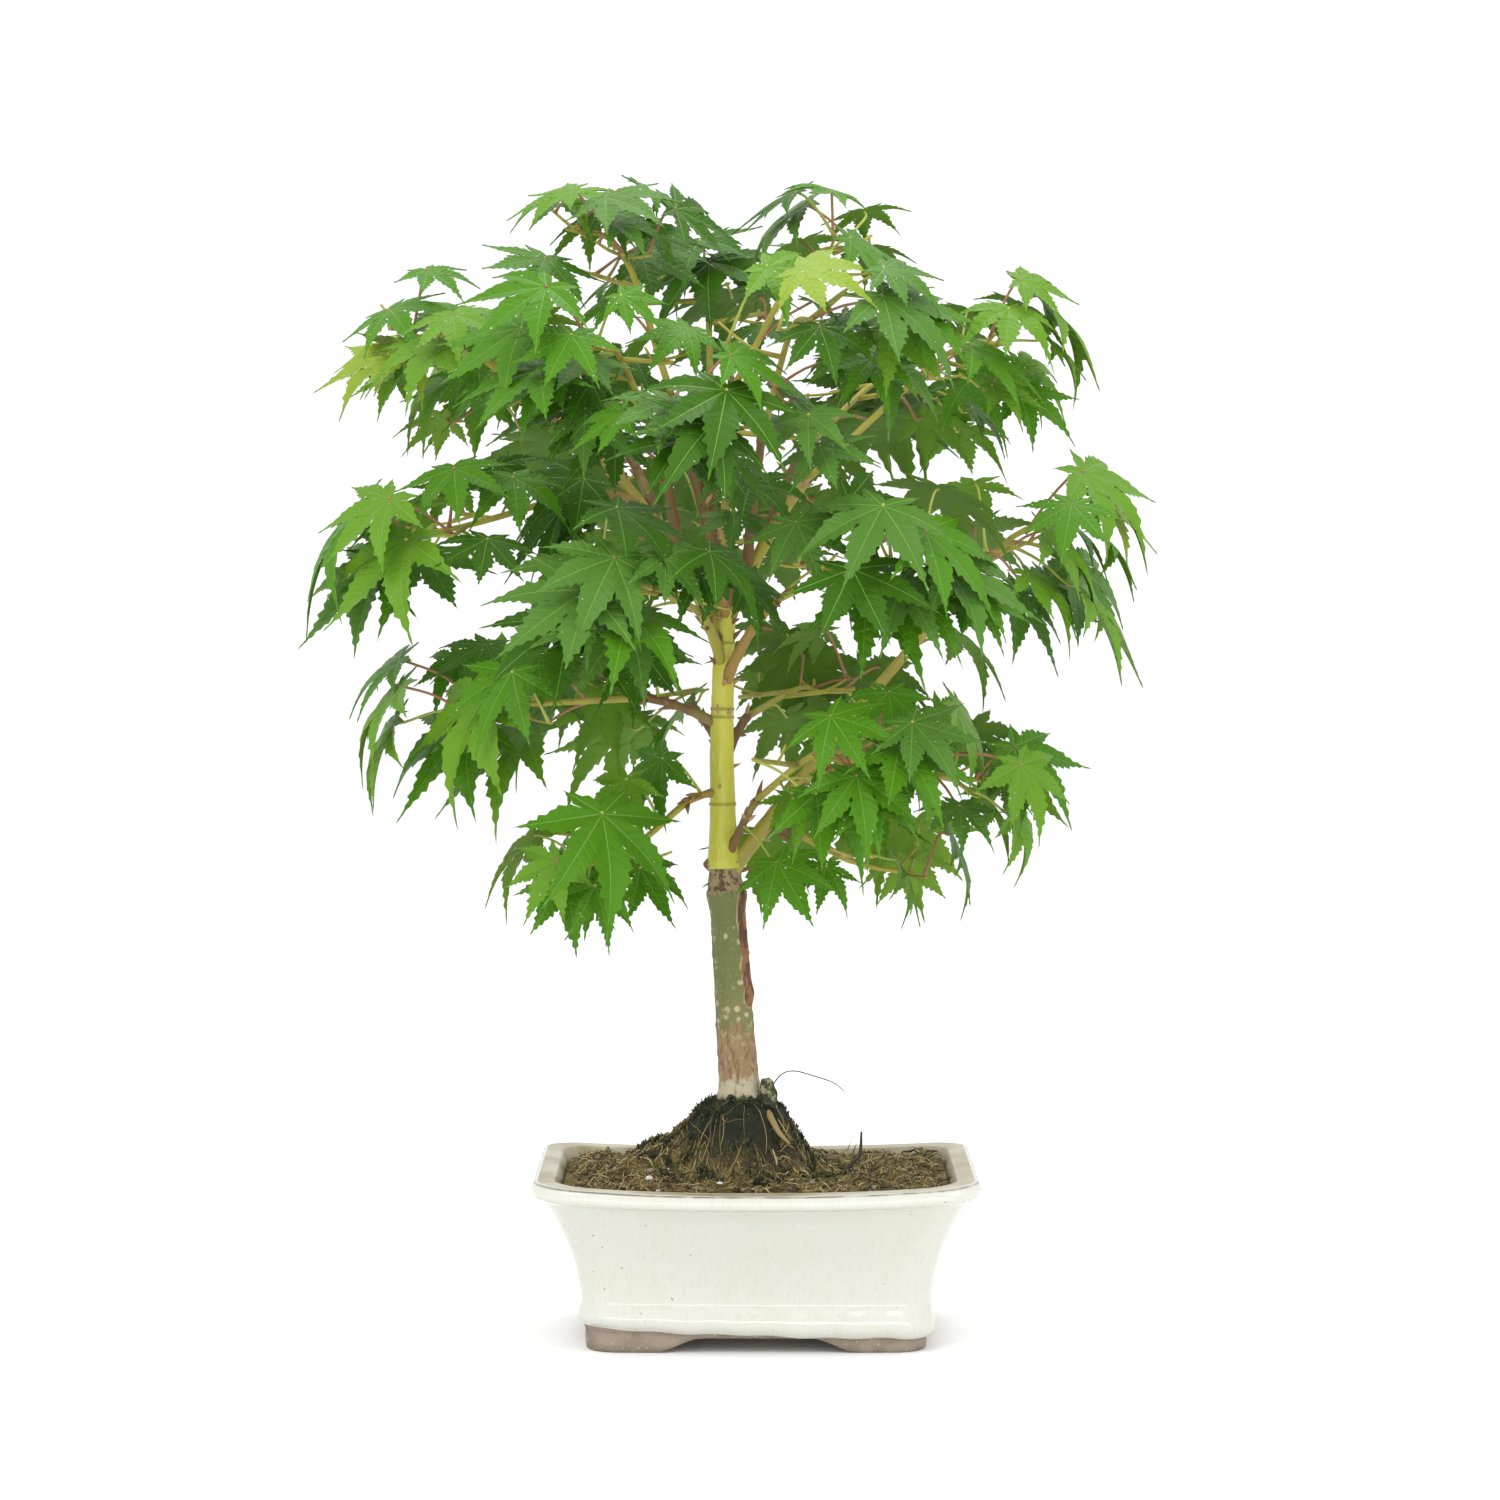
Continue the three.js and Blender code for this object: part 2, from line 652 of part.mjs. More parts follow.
// One leaf as a closed skin: the top is a fan over the outline, the underside closes on three
// corners under the joint, and from there the three-sided stalk runs by its knee to its root.
function leafSolid(leaf) {
  const count = OUTLINE.length;
  const rows = 5;
  const geometry = new THREE.SphereGeometry(1, count, rows);
  const position = geometry.attributes.position;
  const half = LEAF_CORE / 2;
  const corner = (column, centre, onward, radius) => {
    const turn = radians(120 * Math.floor(((column % count) * 3) / count) - 120);
    const way = leaf.along.clone().multiplyScalar(Math.cos(turn));
    way.addScaledVector(leaf.across, Math.sin(turn));
    way.addScaledVector(onward, -way.dot(onward)).normalize();
    return centre.clone().addScaledVector(way, radius);
  };
  const under = leaf.joint.clone().addScaledVector(leaf.face, -half);
  const onward = leaf.root.clone().sub(leaf.knee).normalize();
  const mitre = leaf.knee.clone().sub(leaf.joint).normalize().add(onward).normalize();
  for (let row = 0; row <= rows; row += 1) {
    for (let column = 0; column <= count; column += 1) {
      const [x, y] = OUTLINE[column % count];
      const spot = [
        () => onBlade(leaf, 0, 0, half),
        () => onBlade(leaf, x, y, 0),
        () => corner(column, under, leaf.face, PETIOLE_RADIUS * 1.5),
        () => corner(column, leaf.knee, mitre, PETIOLE_RADIUS),
        () => corner(column, leaf.root, onward, PETIOLE_ROOT),
        () => leaf.root,
      ][row]();
      position.setXYZ(row * (count + 1) + column, spot.x, spot.y, spot.z);
    }
  }
  return solidOf(geometry);
}

function twigSolid(twig) {
  return tube(twig.points, (row) => lerp(twig.radius, TWIG_RADIUS, row / (twig.points.length - 1)), 3);
}

// ---------------------------------------------------------------- foliage rule

function nearestDistance(points, triangles, centre, reach) {
  const near = new THREE.Vector3();
  let least = Infinity;
  for (const point of points) {
    if (point.distanceTo(centre) < reach) {
      for (const triangle of triangles) {
        triangle.closestPointToPoint(point, near);
        least = Math.min(least, near.distanceTo(point));
      }
    }
  }
  return least;
}

function closest(points, spots) {
  let least = Infinity;
  for (const point of points) {
    for (const spot of spots) {
      least = Math.min(least, point.distanceTo(spot));
    }
  }
  return least;
}

// One try at a leaf on a node: a leaf stalk out of the node, then a blade that droops outwards.
function tryLeaf(draw, node, round, mass, sizeShare) {
  const outwards = Math.atan2(mass.heart.y, mass.heart.x - AXIS_X);
  const height = (node.tip.z - CROWN.low) / (CROWN.high - CROWN.low);
  const side = round % 2 === 0 ? 1 : -1;
  const turn = outwards + side * radians(lerp(TURN_LEAST, TURN_MOST * mass.fan, draw()));
  const climb = radians(lerp(CLIMB.least, CLIMB.most, draw()));
  const stalk = lerp(PETIOLE_LENGTH.least, PETIOLE_LENGTH.most, draw());
  const length = lerp(LEAF_LENGTH.least, LEAF_LENGTH.most, draw()) * sizeShare;
  const droop = radians(lerp(DROOP.low, DROOP.high, height) + DROOP.spread * (draw() + draw() - 1));
  const swing = turn + radians(30) * (draw() - 0.5);
  const level = new THREE.Vector3(Math.cos(swing), Math.sin(swing), 0);
  const joint = node.tip
    .clone()
    .addScaledVector(new THREE.Vector3(Math.cos(turn), Math.sin(turn), 0), stalk * Math.cos(climb))
    .addScaledVector(UP, stalk * Math.sin(climb));
  const along = level.clone().multiplyScalar(Math.cos(droop)).addScaledVector(UP, -Math.sin(droop));
  const face = UP.clone().multiplyScalar(Math.cos(droop)).addScaledVector(level, Math.sin(droop));
  const across = face.clone().cross(along);
  const front = new THREE.Vector3(0, mass.heart.y < 30 ? -1 : 1, 0);
  const lean = -Math.sign(across.dot(front)) * FACE_ROLL * Math.abs(across.dot(front));
  const roll = radians(-lean + ROLL_SPREAD * (draw() + draw() - 1));
  face.multiplyScalar(Math.cos(roll)).addScaledVector(across, Math.sin(roll));
  across.copy(face).cross(along);
  const curl = lerp(CURL.least, CURL.most, draw());
  const knee = joint.clone().addScaledVector(along, -KNEE.back).addScaledVector(face, -KNEE.below);
  const root = node.roots[round].clone();
  const turned = knee.clone().sub(joint).normalize().dot(root.clone().sub(knee).normalize());
  return { root, knee, joint, along, across, face, length, curl, easy: turned > KNEE.easiest };
}

// A leaf fits when it stays in its space and clear of limbs, twigs and the leaves placed so far.
function leafFits(leaf, index, limbs, placed) {
  const rim = OUTLINE.map(([x, y]) => onBlade(leaf, x, y, 0));
  const inside = [leaf.joint, leaf.knee, ...rim].every((point) => depthInSpace(index, point) > CELL_MARGIN);
  if (!inside || !leaf.easy) {
    return false;
  }
  const triangles = bladeTriangles(leaf);
  const stalk = spaced(leaf.root, leaf.knee, SAMPLE_STEP, []).slice(3);
  const reach = leaf.length + 12;
  for (const limb of limbs) {
    const clearance = limb.thickest + LIMB_CLEARANCE;
    if (nearestDistance(limb.samples, triangles, leaf.joint, reach) < clearance) {
      return false;
    }
    const stalkClear = closest(stalk, limb.samples) > clearance;
    if (!stalkClear) {
      return false;
    }
  }
  const edges = [];
  rim.forEach((point, i) => {
    spaced(leaf.joint, point, 3, edges);
    spaced(point, rim[(i + 1) % rim.length], 3, edges);
  });
  for (const other of placed) {
    if (other.joint.distanceTo(leaf.joint) < other.length + leaf.length + 10) {
      const blade = nearestDistance(edges, other.triangles, other.joint, other.length + 6);
      const bladeBack = nearestDistance(other.edges, triangles, leaf.joint, leaf.length + 6);
      const stem = nearestDistance(stalk, other.triangles, other.joint, other.length + 6);
      const stemBack = nearestDistance(other.stalk, triangles, leaf.joint, leaf.length + 6);
      const stalks = closest(stalk, other.stalk);
      if (Math.min(blade, bladeBack, stem, stemBack, stalks) < LEAF_CLEARANCE) {
        return false;
      }
    }
  }
  leaf.triangles = triangles;
  leaf.edges = edges;
  leaf.stalk = stalk;
  return true;
}

// Twigs of one mass: the stem carries the bough's curve on to the heart and beyond it,
// and a pair of side twigs leaves at the heart.
function massTwigs(limb, index) {
  const foot = pointOn(limb, limb.last);
  const heart = limb.end.clone();
  const away = Math.atan2(heart.y, heart.x - AXIS_X);
  const outwards = new THREE.Vector3(Math.cos(away), Math.sin(away), 0);
  const ahead = slopeOn(limb, 1).multiplyScalar(0.5).add(outwards).normalize();
  const side = ahead.clone().cross(UP).normalize();
  const head = heart.clone().addScaledVector(ahead, STEM_REACH);
  const stem = { points: [foot, heart, head], radius: STEM_RADIUS };
  const twigs = [stem];
  for (const sign of [-1, 1]) {
    const way = ahead.clone().multiplyScalar(0.35).addScaledVector(side, sign);
    way.addScaledVector(UP, 0.12 * sign);
    const from = heart.clone().lerp(foot, 0.15 + 0.1 * sign);
    const to = from.clone().addScaledVector(way.normalize(), SIDE_REACH);
    if (depthInSpace(index, to) > CELL_MARGIN) {
      twigs.push({ points: [from, to], radius: TWIG_RADIUS });
    }
  }
  return twigs;
}

// A node is a place on a twig; its leaf stalks root one behind another inside the twig.
function nodeOn(from, to, share) {
  const tip = from.clone().lerp(to, share);
  const back = from.clone().sub(to).normalize();
  const roots = [1, 2.4, 3.8].map((steps) => tip.clone().addScaledVector(back, STALK_SINK * steps));
  return { tip, roots };
}

function growMass(row, index, limbs) {
  const limb = limbs.find((one) => one.name === row.name);
  const draw = seeded(1000 + 37 * index);
  const heart = HEARTS[index];
  const mass = { heart, fan: row.fan };
  const most = heart.y > 30 ? MOST_LEAVES.back : MOST_LEAVES.front;
  const twigs = massTwigs(limb, index);
  const obstacles = limbs.map((one) => ({ samples: one.samples, thickest: one.thickest }));
  for (const twig of twigs) {
    const samples = [];
    twig.points.slice(1).forEach((point, i) => spaced(twig.points[i], point, SAMPLE_STEP, samples));
    obstacles.push({ samples, thickest: TWIG_RADIUS });
  }
  const [foot, middle, head] = twigs[0].points;
  const nodes = [nodeOn(middle, head, 1)];
  for (const twig of twigs.slice(1)) {
    nodes.push(nodeOn(twig.points[0], twig.points[1], 1));
  }
  nodes.push(nodeOn(middle, head, 0.3), nodeOn(foot, middle, 0.5));
  const placed = [];
  for (let round = 0; round < LEAVES_PER_NODE; round += 1) {
    for (const node of nodes) {
      for (let attempt = 0; attempt < TRIES && placed.length < most; attempt += 1) {
        const leaf = tryLeaf(draw, node, round, mass, 1 - 0.5 * (attempt / TRIES));
        if (leafFits(leaf, index, obstacles, placed)) {
          placed.push(leaf);
          break;
        }
      }
    }
  }
  return { twigs, leaves: placed };
}

function massSolid({ twigs, leaves }, limb) {
  const pieces = twigs.map((twig) => twigSolid(twig));
  for (const leaf of leaves) {
    pieces.push(leafSolid(leaf));
  }
  return wasm.Manifold.union(pieces).subtract(keptFree(limb));
}

// ---------------------------------------------------------------- assembly

function bonsai() {
  const group = new THREE.Group();
  group.name = 'maple_bonsai';
  group.add(pot(), soil());
  const limbs = boughLimbs(stems());
  for (const limb of limbs) {
    const length = limb.start.distanceTo(limb.end);
    const count = Math.ceil((length * limb.last * 1.1) / SAMPLE_STEP);
    limb.samples = limbPoints(limb, 0, limb.last, count);
    limb.thickest = limbRadius(limb, 0.3);
  }
  const [trunkLimb, leaderLimb] = limbs;
  group.add(finish('trunk', trunk(trunkLimb, leaderLimb), COLOURS.bark, 0.8));
  const leader = limbSolid(leaderLimb, 0, 1, 0, LEADER_ROWS, LEADER_SIDES);
  group.add(finish('leader', leader, COLOURS.young_bark, 0.6));
  BOUGHS.forEach((row, index) => {
    const limb = limbs[index + 2];
    group.add(finish(`bough_${row.name}`, bough(limb, [trunkLimb, leaderLimb]), COLOURS.young_bark, 0.7));
    const mass = growMass(row, index, limbs);
    group.add(finish(`foliage_${row.name}`, massSolid(mass, limb), COLOURS.leaves, 0.6));
  });
  return group;
}

// The origin is the middle of the object's bounds at ground level.
function centred(group) {
  const bounds = new THREE.Box3().setFromObject(group, true);
  const shift = new THREE.Vector3(
    -(bounds.min.x + bounds.max.x) / 2,
    -(bounds.min.y + bounds.max.y) / 2,
    -bounds.min.z,
  );
  for (const mesh of group.children) {
    mesh.geometry.translate(shift.x, shift.y, shift.z);
  }
  return group;
}

export default centred(bonsai());
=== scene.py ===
"""A small palm-leaved maple grown as a bonsai in a cream glazed pot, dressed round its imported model.

The plant grows here by the same rule as its solids. The rule works in the drawing's millimetres,
whose origin is under the middle of the pot; to_metres() carries them into the model's frame.
"""

import math
from types import SimpleNamespace

import bpy
import numpy as np
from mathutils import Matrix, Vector, noise
from mathutils.bvhtree import BVHTree


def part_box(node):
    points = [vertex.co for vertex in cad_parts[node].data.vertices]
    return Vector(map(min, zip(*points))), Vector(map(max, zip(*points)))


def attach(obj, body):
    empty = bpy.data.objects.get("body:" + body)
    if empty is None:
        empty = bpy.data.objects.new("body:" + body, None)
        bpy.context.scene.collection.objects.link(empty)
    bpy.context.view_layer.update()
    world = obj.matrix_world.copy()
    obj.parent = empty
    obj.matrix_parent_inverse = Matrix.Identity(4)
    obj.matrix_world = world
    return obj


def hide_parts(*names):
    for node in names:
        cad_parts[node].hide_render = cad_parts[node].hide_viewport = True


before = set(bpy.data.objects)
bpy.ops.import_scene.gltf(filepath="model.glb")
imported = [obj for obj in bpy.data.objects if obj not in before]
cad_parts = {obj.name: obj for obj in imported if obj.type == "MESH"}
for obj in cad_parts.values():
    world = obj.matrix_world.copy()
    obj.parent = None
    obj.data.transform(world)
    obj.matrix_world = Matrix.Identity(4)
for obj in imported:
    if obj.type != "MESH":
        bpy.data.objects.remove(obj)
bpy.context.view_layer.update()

# ---------------------------------------------------------------- sizes of the solids, in millimetres

# The pot is a row of rings. A ring's radius is its half length; its half width is that much slimmer,
# from the radius POT_FLOOR_FROM outwards.
POT_HALF_LENGTH = 80
POT_HEIGHT = 60
POT_SLIMMER = 22
POT_FLOOR_FROM = 40
POT_BOW = SimpleNamespace(low=0.03, high=0.1, from_radius=62)
POT_CORNER = 0.18
RIM_CURVE = SimpleNamespace(dip=2.4, rise=0.6, from_height=44)
POT_UNDERSIDE = 3.2
POT_FOOT = -2
POT_FLOOR_TOP = 12
RIM_FLAT = 8.8
POT_MOUTH = POT_HALF_LENGTH - RIM_FLAT
# The pot's outline as pairs of radius and height: up the wall, round the lip and down inside.
POT_WALL = [(61.8, 5.6), (63.6, 7.6), (64.1, 10), (63.2, 14), (62.8, 18), (65.4, 31), (71, 45)]
POT_LIP = [(75.8, 52.4), (78.9, 54.4), (79.9, 55.6), (80, 57.4), (79.4, 59.2), (78.2, 60), (75, 60)]
POT_INSIDE = [(POT_MOUTH + 1.4, 59.8), (POT_MOUTH, 58.6), (66.6, 46), (61, 30), (52, POT_FLOOR_TOP)]
HOLE_RADIUS = 6
HOLE_OFFSET = 30
FOOT_OUTER = 61.2
FOOT_INNER = 46
# The outline of the ring of clay that becomes the feet, also as radius and height.
FOOT_PROFILE = [(FOOT_INNER, 4.4), (FOOT_INNER + 0.1, POT_FOOT), (52, POT_FOOT), (60, POT_FOOT)]
FOOT_PROFILE += [(60.9, POT_FOOT + 0.5), (FOOT_OUTER, 1), (FOOT_OUTER, 7.4), (FOOT_INNER, 7.4)]
ARCH_LONG = SimpleNamespace(foot=37, top=19)
ARCH_SHORT = SimpleNamespace(foot=20, top=9)

SOIL_LEVEL = 57
MOUND_CENTRE = (-5, 0)
MOUND_HEIGHT = 27
MOUND_TOP_RADIUS = 10
MOUND_FOOT_RADIUS = 38
MOUND_LENGTHWAYS = 1.15
HUMP = SimpleNamespace(at=(-38, -6), half=(14, 16), height=7)

TRUNK_FOOT = (-6, 0, 84.7)
TRUNK_BEND = (-8.5, 1, 125)
TRUNK_HEAD = (-11.6, 0, 171)
TRUNK_RADIUS = SimpleNamespace(foot=7.1, head=6.0, flare=1.0, knuckle=1.2)
SCAR = SimpleNamespace(low=0.44, high=0.84, turn=-127, height=1.4)
STUB = SimpleNamespace(at=0.93, side=(-1, -0.15, 0.9), length=9.5, radius=2.3)
GAP = 0.3
LEADER_HEAD = (-10.5, 0, 269)
LEADER_BEND = (-13.5, 0, 222)
LEADER_RADIUS = SimpleNamespace(foot=4.8, head=3.5)

# Boughs: name, parent, share of the parent's bare length where it leaves, heart of its foliage,
# rise of its bend, base radius, lean of its bend and, on the top masses, a wider fan.
BOUGHS = [
    ("right_mid", "trunk", 0.93, (92, -7, 288), -8, 3.0, 0.62, 1),
    ("left_high", "leader", 0.8, (-111, 0, 360), 12, 2.9, 0.5, 1.1),
    ("right_high", "leader", 0.86, (69, -3, 354), 10, 2.5, 0.45, 1),
    ("top_left", "leader", 0.96, (-48, -12, 390), 8, 2.1, 0.7, 2.1),
    ("top_right", "top_left", 0.42, (17, -12, 386), 6, 1.7, 0.4, 2.1),
    ("top_back", "top_left", 0.24, (-18, 52, 378), 8, 1.7, 0.4, 2.1),
    ("front_left_high", "left_high", 0.3, (-48, -60, 352), 10, 1.9, 0.4, 1),
    ("front_right_high", "right_high", 0.3, (12, -62, 360), 12, 1.9, 0.4, 1),
    ("back_right_high", "right_high", 0.56, (45, 69, 346), 10, 1.9, 0.4, 1),
    ("back_left_high", "left_high", 0.42, (-74, 65, 342), 10, 1.9, 0.4, 1),
    ("left_mid", "left_high", 0.56, (-105, -14, 292), 14, 1.8, 0.5, 1),
    ("front_centre", "leader", 0.86, (-10, -79, 326), 16, 1.9, 0.4, 1),
    ("front_left_mid", "leader", 0.7, (-37, -71, 271), 14, 2.0, 0.4, 1),
    ("front_right_mid", "leader", 0.62, (36, -71, 280), 14, 2.0, 0.4, 1),
    ("back_mid", "leader", 0.66, (-14, 84, 290), 16, 2.0, 0.4, 1),
    ("left_low", "leader", 0.48, (-86, -14, 228), 14, 1.8, 0.5, 1),
    ("right_low", "right_mid", 0.34, (61, -10, 203), 12, 1.7, 0.5, 1),
    ("front_low", "trunk", 0.97, (20, -48, 212), 10, 1.5, 0.5, 1),
    ("back_left_low", "leader", 0.4, (-46, 65, 228), 12, 1.8, 0.4, 1),
    ("back_right_low", "leader", 0.32, (15, 70, 230), 12, 1.8, 0.4, 1),
    ("hanging_left", "leader", 0.24, (-46, -22, 176), 14, 1.4, 0.5, 1),
    ("hanging_right", "right_mid", 0.16, (36, 4, 170), 12, 1.4, 0.5, 1),
]
BOUGH_TIP_RADIUS = 1.25
BARE_SHARE = 0.42
# The masses whose leaves are joined into one piece.
LEAF_GROUPS = {
    "top": ["top_left", "top_right", "top_back", "right_high", "left_high"],
    "front_high": ["front_left_high", "front_right_high", "front_centre"],
    "front_low": ["front_left_mid", "front_right_mid", "front_low"],
    "sides": ["left_mid", "left_low", "right_mid", "right_low"],
    "back": ["back_right_high", "back_left_high", "back_mid", "back_left_low", "back_right_low"],
    "hanging": ["hanging_left", "hanging_right"],
}

# The head of leaves is a rounded dome about an upright axis, with a slot before the leader.
AXIS_X = -12
CROWN = SimpleNamespace(low=126, high=422, middle=276, half_height=146, half_width=163, half_depth=144)
CROWN_POWER = 2.3
SLOT = SimpleNamespace(middle=-11, half=6.5, low=168, high=250)

# The growth rule, as for the solids. A mass whose heart lies behind BACK_FROM faces backwards.
BACK_FROM = 30
CELL_MARGIN = 1.3
STEM_RADIUS = 1.35
TWIG_RADIUS = 1.05
PETIOLE_RADIUS = 0.55
STEM_REACH = 22
SIDE_REACH = 27
LEAVES_PER_NODE = 3
MOST_LEAVES = SimpleNamespace(front=8, back=6)
DROOP = SimpleNamespace(low=64, high=14, spread=16)
ROLL_SPREAD = 22
LEVEL_SPREAD = 30
FACE_ROLL = 30
CURL = (0.1, 0.26)
STALK_SINK = 1.6
KNEE = SimpleNamespace(back=2.4, below=3.4, easiest=0.1)
SAMPLE_STEP = 2
EDGE_STEP = 3
LIMB_CLEARANCE = 1.3
MAIN_HABIT = SimpleNamespace(length=(36, 52), stalk=(12, 32), climb=(-30, 60), turn=(-8, 95))
MAIN_RULE = SimpleNamespace(habit=MAIN_HABIT, tries=70, shrink=0.5, clearance=1.7, overrun=0, sprays_from=0)

# Leaves and twigs that only show here: finer, and allowed a little way into the next space.
FINE_HABIT = SimpleNamespace(length=(34, 50), stalk=(8, 26), climb=(-40, 70), turn=(-20, 120))
FINE_RULE = SimpleNamespace(habit=FINE_HABIT, tries=36, shrink=0.4, clearance=0.9, overrun=14, sprays_from=10)
FINE_MOST = SimpleNamespace(front=6, back=7, low=4)
LOW_HEART = 260
NEIGHBOUR_REACH = 150
FINE_LIMB_CLEARANCE = 0.3
FINE_TWIG = (12, 20)
FINE_TWIG_RADIUS = 0.7
BOUGH_NODES = (0.9, 0.7, 0.5)

# Leaf outline in lengths of its middle lobe: each lobe's turn and length from the middle out.
LOBE_TURN = (0, 42, 84, 128)
LOBE_LENGTH = (1, 0.93, 0.74, 0.36)
LOBE_SHOULDER = SimpleNamespace(along=0.6, half=0.13)
SINUS_SHARE = 0.38
SINUS_LEAST = 0.2
BASE_NOTCH = 0.07
LOBE_SWELL = 0.66
SINUS_CUT = 0.84
ROW_SLANT = 0.8
INNER_ROWS = 3
TEETH = (8, 8, 7, 3)
TOOTH = 0.019
VEIN_HALF = 0.005
VEIN_RISE = 0.002
MIDDLE_STRIP = 0.55
PUCKER = 0.004
FLECKS = 9
FLECK_SHAPE = ((1, 0), (0, 1.3), (-1, 0), (0, -0.8))
LEAF_THICKNESS = 0.45
LEAF_PATTERNS = 6

# ---------------------------------------------------------------- what only shows here, in millimetres

# How far the glaze's lower edge ran down, from the middle out to the pot's ends.
GLAZE_EDGE = SimpleNamespace(half=60, middle=-1.3, slope=-2.1, bow=0.6, from_radius=61.5, fade=(6, 18))
BARE_CLAY = SimpleNamespace(below_radius=61.7, below_height=8)
RIM_LINE = SimpleNamespace(height=59.7, width=0.22, from_radius=78)
RIM_TOP_FROM = 59.6
MOUND_POWER = 1.6
LOOSE_HEAP = SimpleNamespace(at=(-36, 8), half=(11, 14), height=6)
STREWN = SimpleNamespace(half_length=65, half_width=43, bow=5)
# Nearer to the mound's middle than mound lie fewer fibres and no stones.
FIBRES = SimpleNamespace(count=2700, length=(3, 15), radius=(0.14, 0.42), mound=21)
# Stones that the photo shows, as x, y, size and material.
SHOWN_STONES = [(-2, -40, 1.9, 0), (-13, -36, 1.3, 0), (5, -38, 1.5, 2), (20, -34, 1.2, 1)]
STONES = SimpleNamespace(count=80, size=(0.5, 1.5), mound=30)
# The mound is mossy all over up to the first distance from its middle, and bare from the second.
MOSSY = (19, 33)
MOSS = SimpleNamespace(cushions=290, blades=9, away=(9, 40), height=(1.0, 2.6))

# Shares of a stem's length where it has rings; the trunk's also have a width and a height.
TRUNK_RINGS = [(0.32, 0.012, 0.2), (0.62, 0.01, 0.3)]
LEADER_RINGS = (0.2, 0.52, 0.55, 0.8)
BOUGH_RINGS = (0.35, 0.68, 0.97)
TRUNK_LEDGE = SimpleNamespace(at=0.875, drop=0.8)
SCAR_LUMP = SimpleNamespace(at=0.46, half=0.05, height=1.3)
LEADER_SCALES = (0.52, 0.8, 0.95)
BOUGH_SCALES = (0.04, 0.68, 0.97)
SCALES_PER_NODE = 3

# Seeds of the draws; each mass, spray or leaf pattern adds its own number to those of SEED_OF.
SEED = SimpleNamespace(fibres=41, stones=43, moss=47, roots=53, scales=61)
SEED_OF = SimpleNamespace(blades=90, stalks=170, greens=300, patterns=500, leaves=1000, finer=7000)

# ---------------------------------------------------------------- camera, light and colours

PHOTO_SIDE = 1500
FOCAL_PIXELS = 4420
SENSOR = 0.036
CAMERA_LEFT = -0.0022
CAMERA_BACK = 1.6
CAMERA_HEIGHT = 0.302
AIM_HEIGHT = 0.213
FLOOR_SIDE = 14
WORLD_LIGHT = 1.08
# Each lamp's place and size in metres, and its watts.
LAMPS = {
    "key": ((-0.6, -1.0, 1.4), (0.5, 0.5), 7),
    "fill": ((1.1, -0.8, 0.9), (0.8, 0.8), 3),
    "top": ((0.1, 0.4, 1.6), (0.8, 0.8), 6),
    "strip": ((0.0, -2.2, 0.33), (2.4, 0.2), 6.5),
}

# Heights in metres where the trunk's colours change.
PALE_BELOW = 0.0945
TAN_BELOW = 0.112
SPOTS_BELOW = 0.13
KNUCKLE_ABOVE = 0.1605

# sRGB, 0 to 255.
# Greens dealt out by place: the deep and grey ones inside the crown stand partly for older leaves and partly
# for painted shade; the fresh, yellow and lime ones at its edges partly for young leaves and partly for
# painted light shining through the leaves.
LEAF_GREENS = {
    "deep": (56, 98, 14),
    "mid": (74, 126, 18),
    "grey": (78, 120, 42),
    "fresh": (96, 141, 32),
    "yellow": (122, 153, 44),
    "lime": (134, 160, 50),
}
VEIN_COLOUR = (110, 150, 62)
FLECK_COLOUR = (206, 218, 196)
UNDER_TINT = (138, 160, 72)
UNDER_SHARE = 0.35
STALK_COLOURS = {"leaf_stalk_green": (168, 176, 80), "leaf_stalk_pink": (164, 118, 84)}
FIBRE_COLOURS = {
    "straw": (182, 164, 112),
    "dark_fibre": (70, 54, 34),
    "tan_fibre": (142, 118, 72),
    "olive_fibre": (116, 108, 60),
}
MOSS_COLOURS = {"moss_dark": (28, 36, 18), "moss_mid": (46, 58, 26), "moss_bright": (78, 92, 42)}
ROOT_COLOURS = {"root_tan": (146, 126, 80), "root_dark": (64, 54, 38), "root_mossy": (82, 84, 56)}
SCALE_COLOURS = {"scale_brown": (134, 98, 64), "scale_tan": (176, 146, 102)}
BOUGH_COLOURS = {
    "orange": (164, 132, 64),
    "red": (116, 88, 46),
    "green": (170, 162, 62),
    "dark": (84, 62, 46),
}
BOUGH_TONES = {
    "right_mid": "green",
    "right_low": "green",
    "left_high": "green",
    "right_high": "green",
    "left_mid": "orange",
    "front_centre": "orange",
    "front_left_mid": "green",
    "front_right_mid": "orange",
    "hanging_left": "orange",
    "hanging_right": "dark",
}


def linear(colour):
    """The linear colour of an sRGB one."""
    shares = np.asarray(colour, float) / 255
    return tuple(np.where(shares > 0.04045, ((shares + 0.055) / 1.055) ** 2.4, shares / 12.92))


# ---------------------------------------------------------------- small tools

UP = np.array([0.0, 0.0, 1.0])
WORD = 0xFFFFFFFF
pot_low, pot_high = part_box("pot")
POT_MIDDLE = (pot_low + pot_high) / 2
SHIFT = np.array([POT_MIDDLE.x * 1000, POT_MIDDLE.y * 1000, pot_low.z * 1000 - POT_FOOT])


def to_metres(points):
    return (np.asarray(points, float) + SHIFT) / 1000


def seeded(seed):
    """A seeded stream of numbers from 0 to 1, the same as for the solids."""
    state = seed & WORD

    def draw():
        nonlocal state
        state = (state + 0x6D2B79F5) & WORD
        word = ((state ^ (state >> 15)) * (state | 1)) & WORD
        word ^= (word + (((word ^ (word >> 7)) * (word | 61)) & WORD)) & WORD
        return ((word ^ (word >> 14)) & WORD) / 4294967296

    return draw


def lerp(low, high, share):
    return (1 - share) * low + share * high


def between(limits, share):
    return lerp(limits[0], limits[1], share)


def unit(vector):
    return vector / math.sqrt(float(vector @ vector))


def smooth(low, high, value):
    share = np.clip((value - low) / (high - low), 0, 1)
    return share * share * (3 - 2 * share)


def bell(value, middle, half):
    return np.exp(-(((value - middle) / half) ** 2))


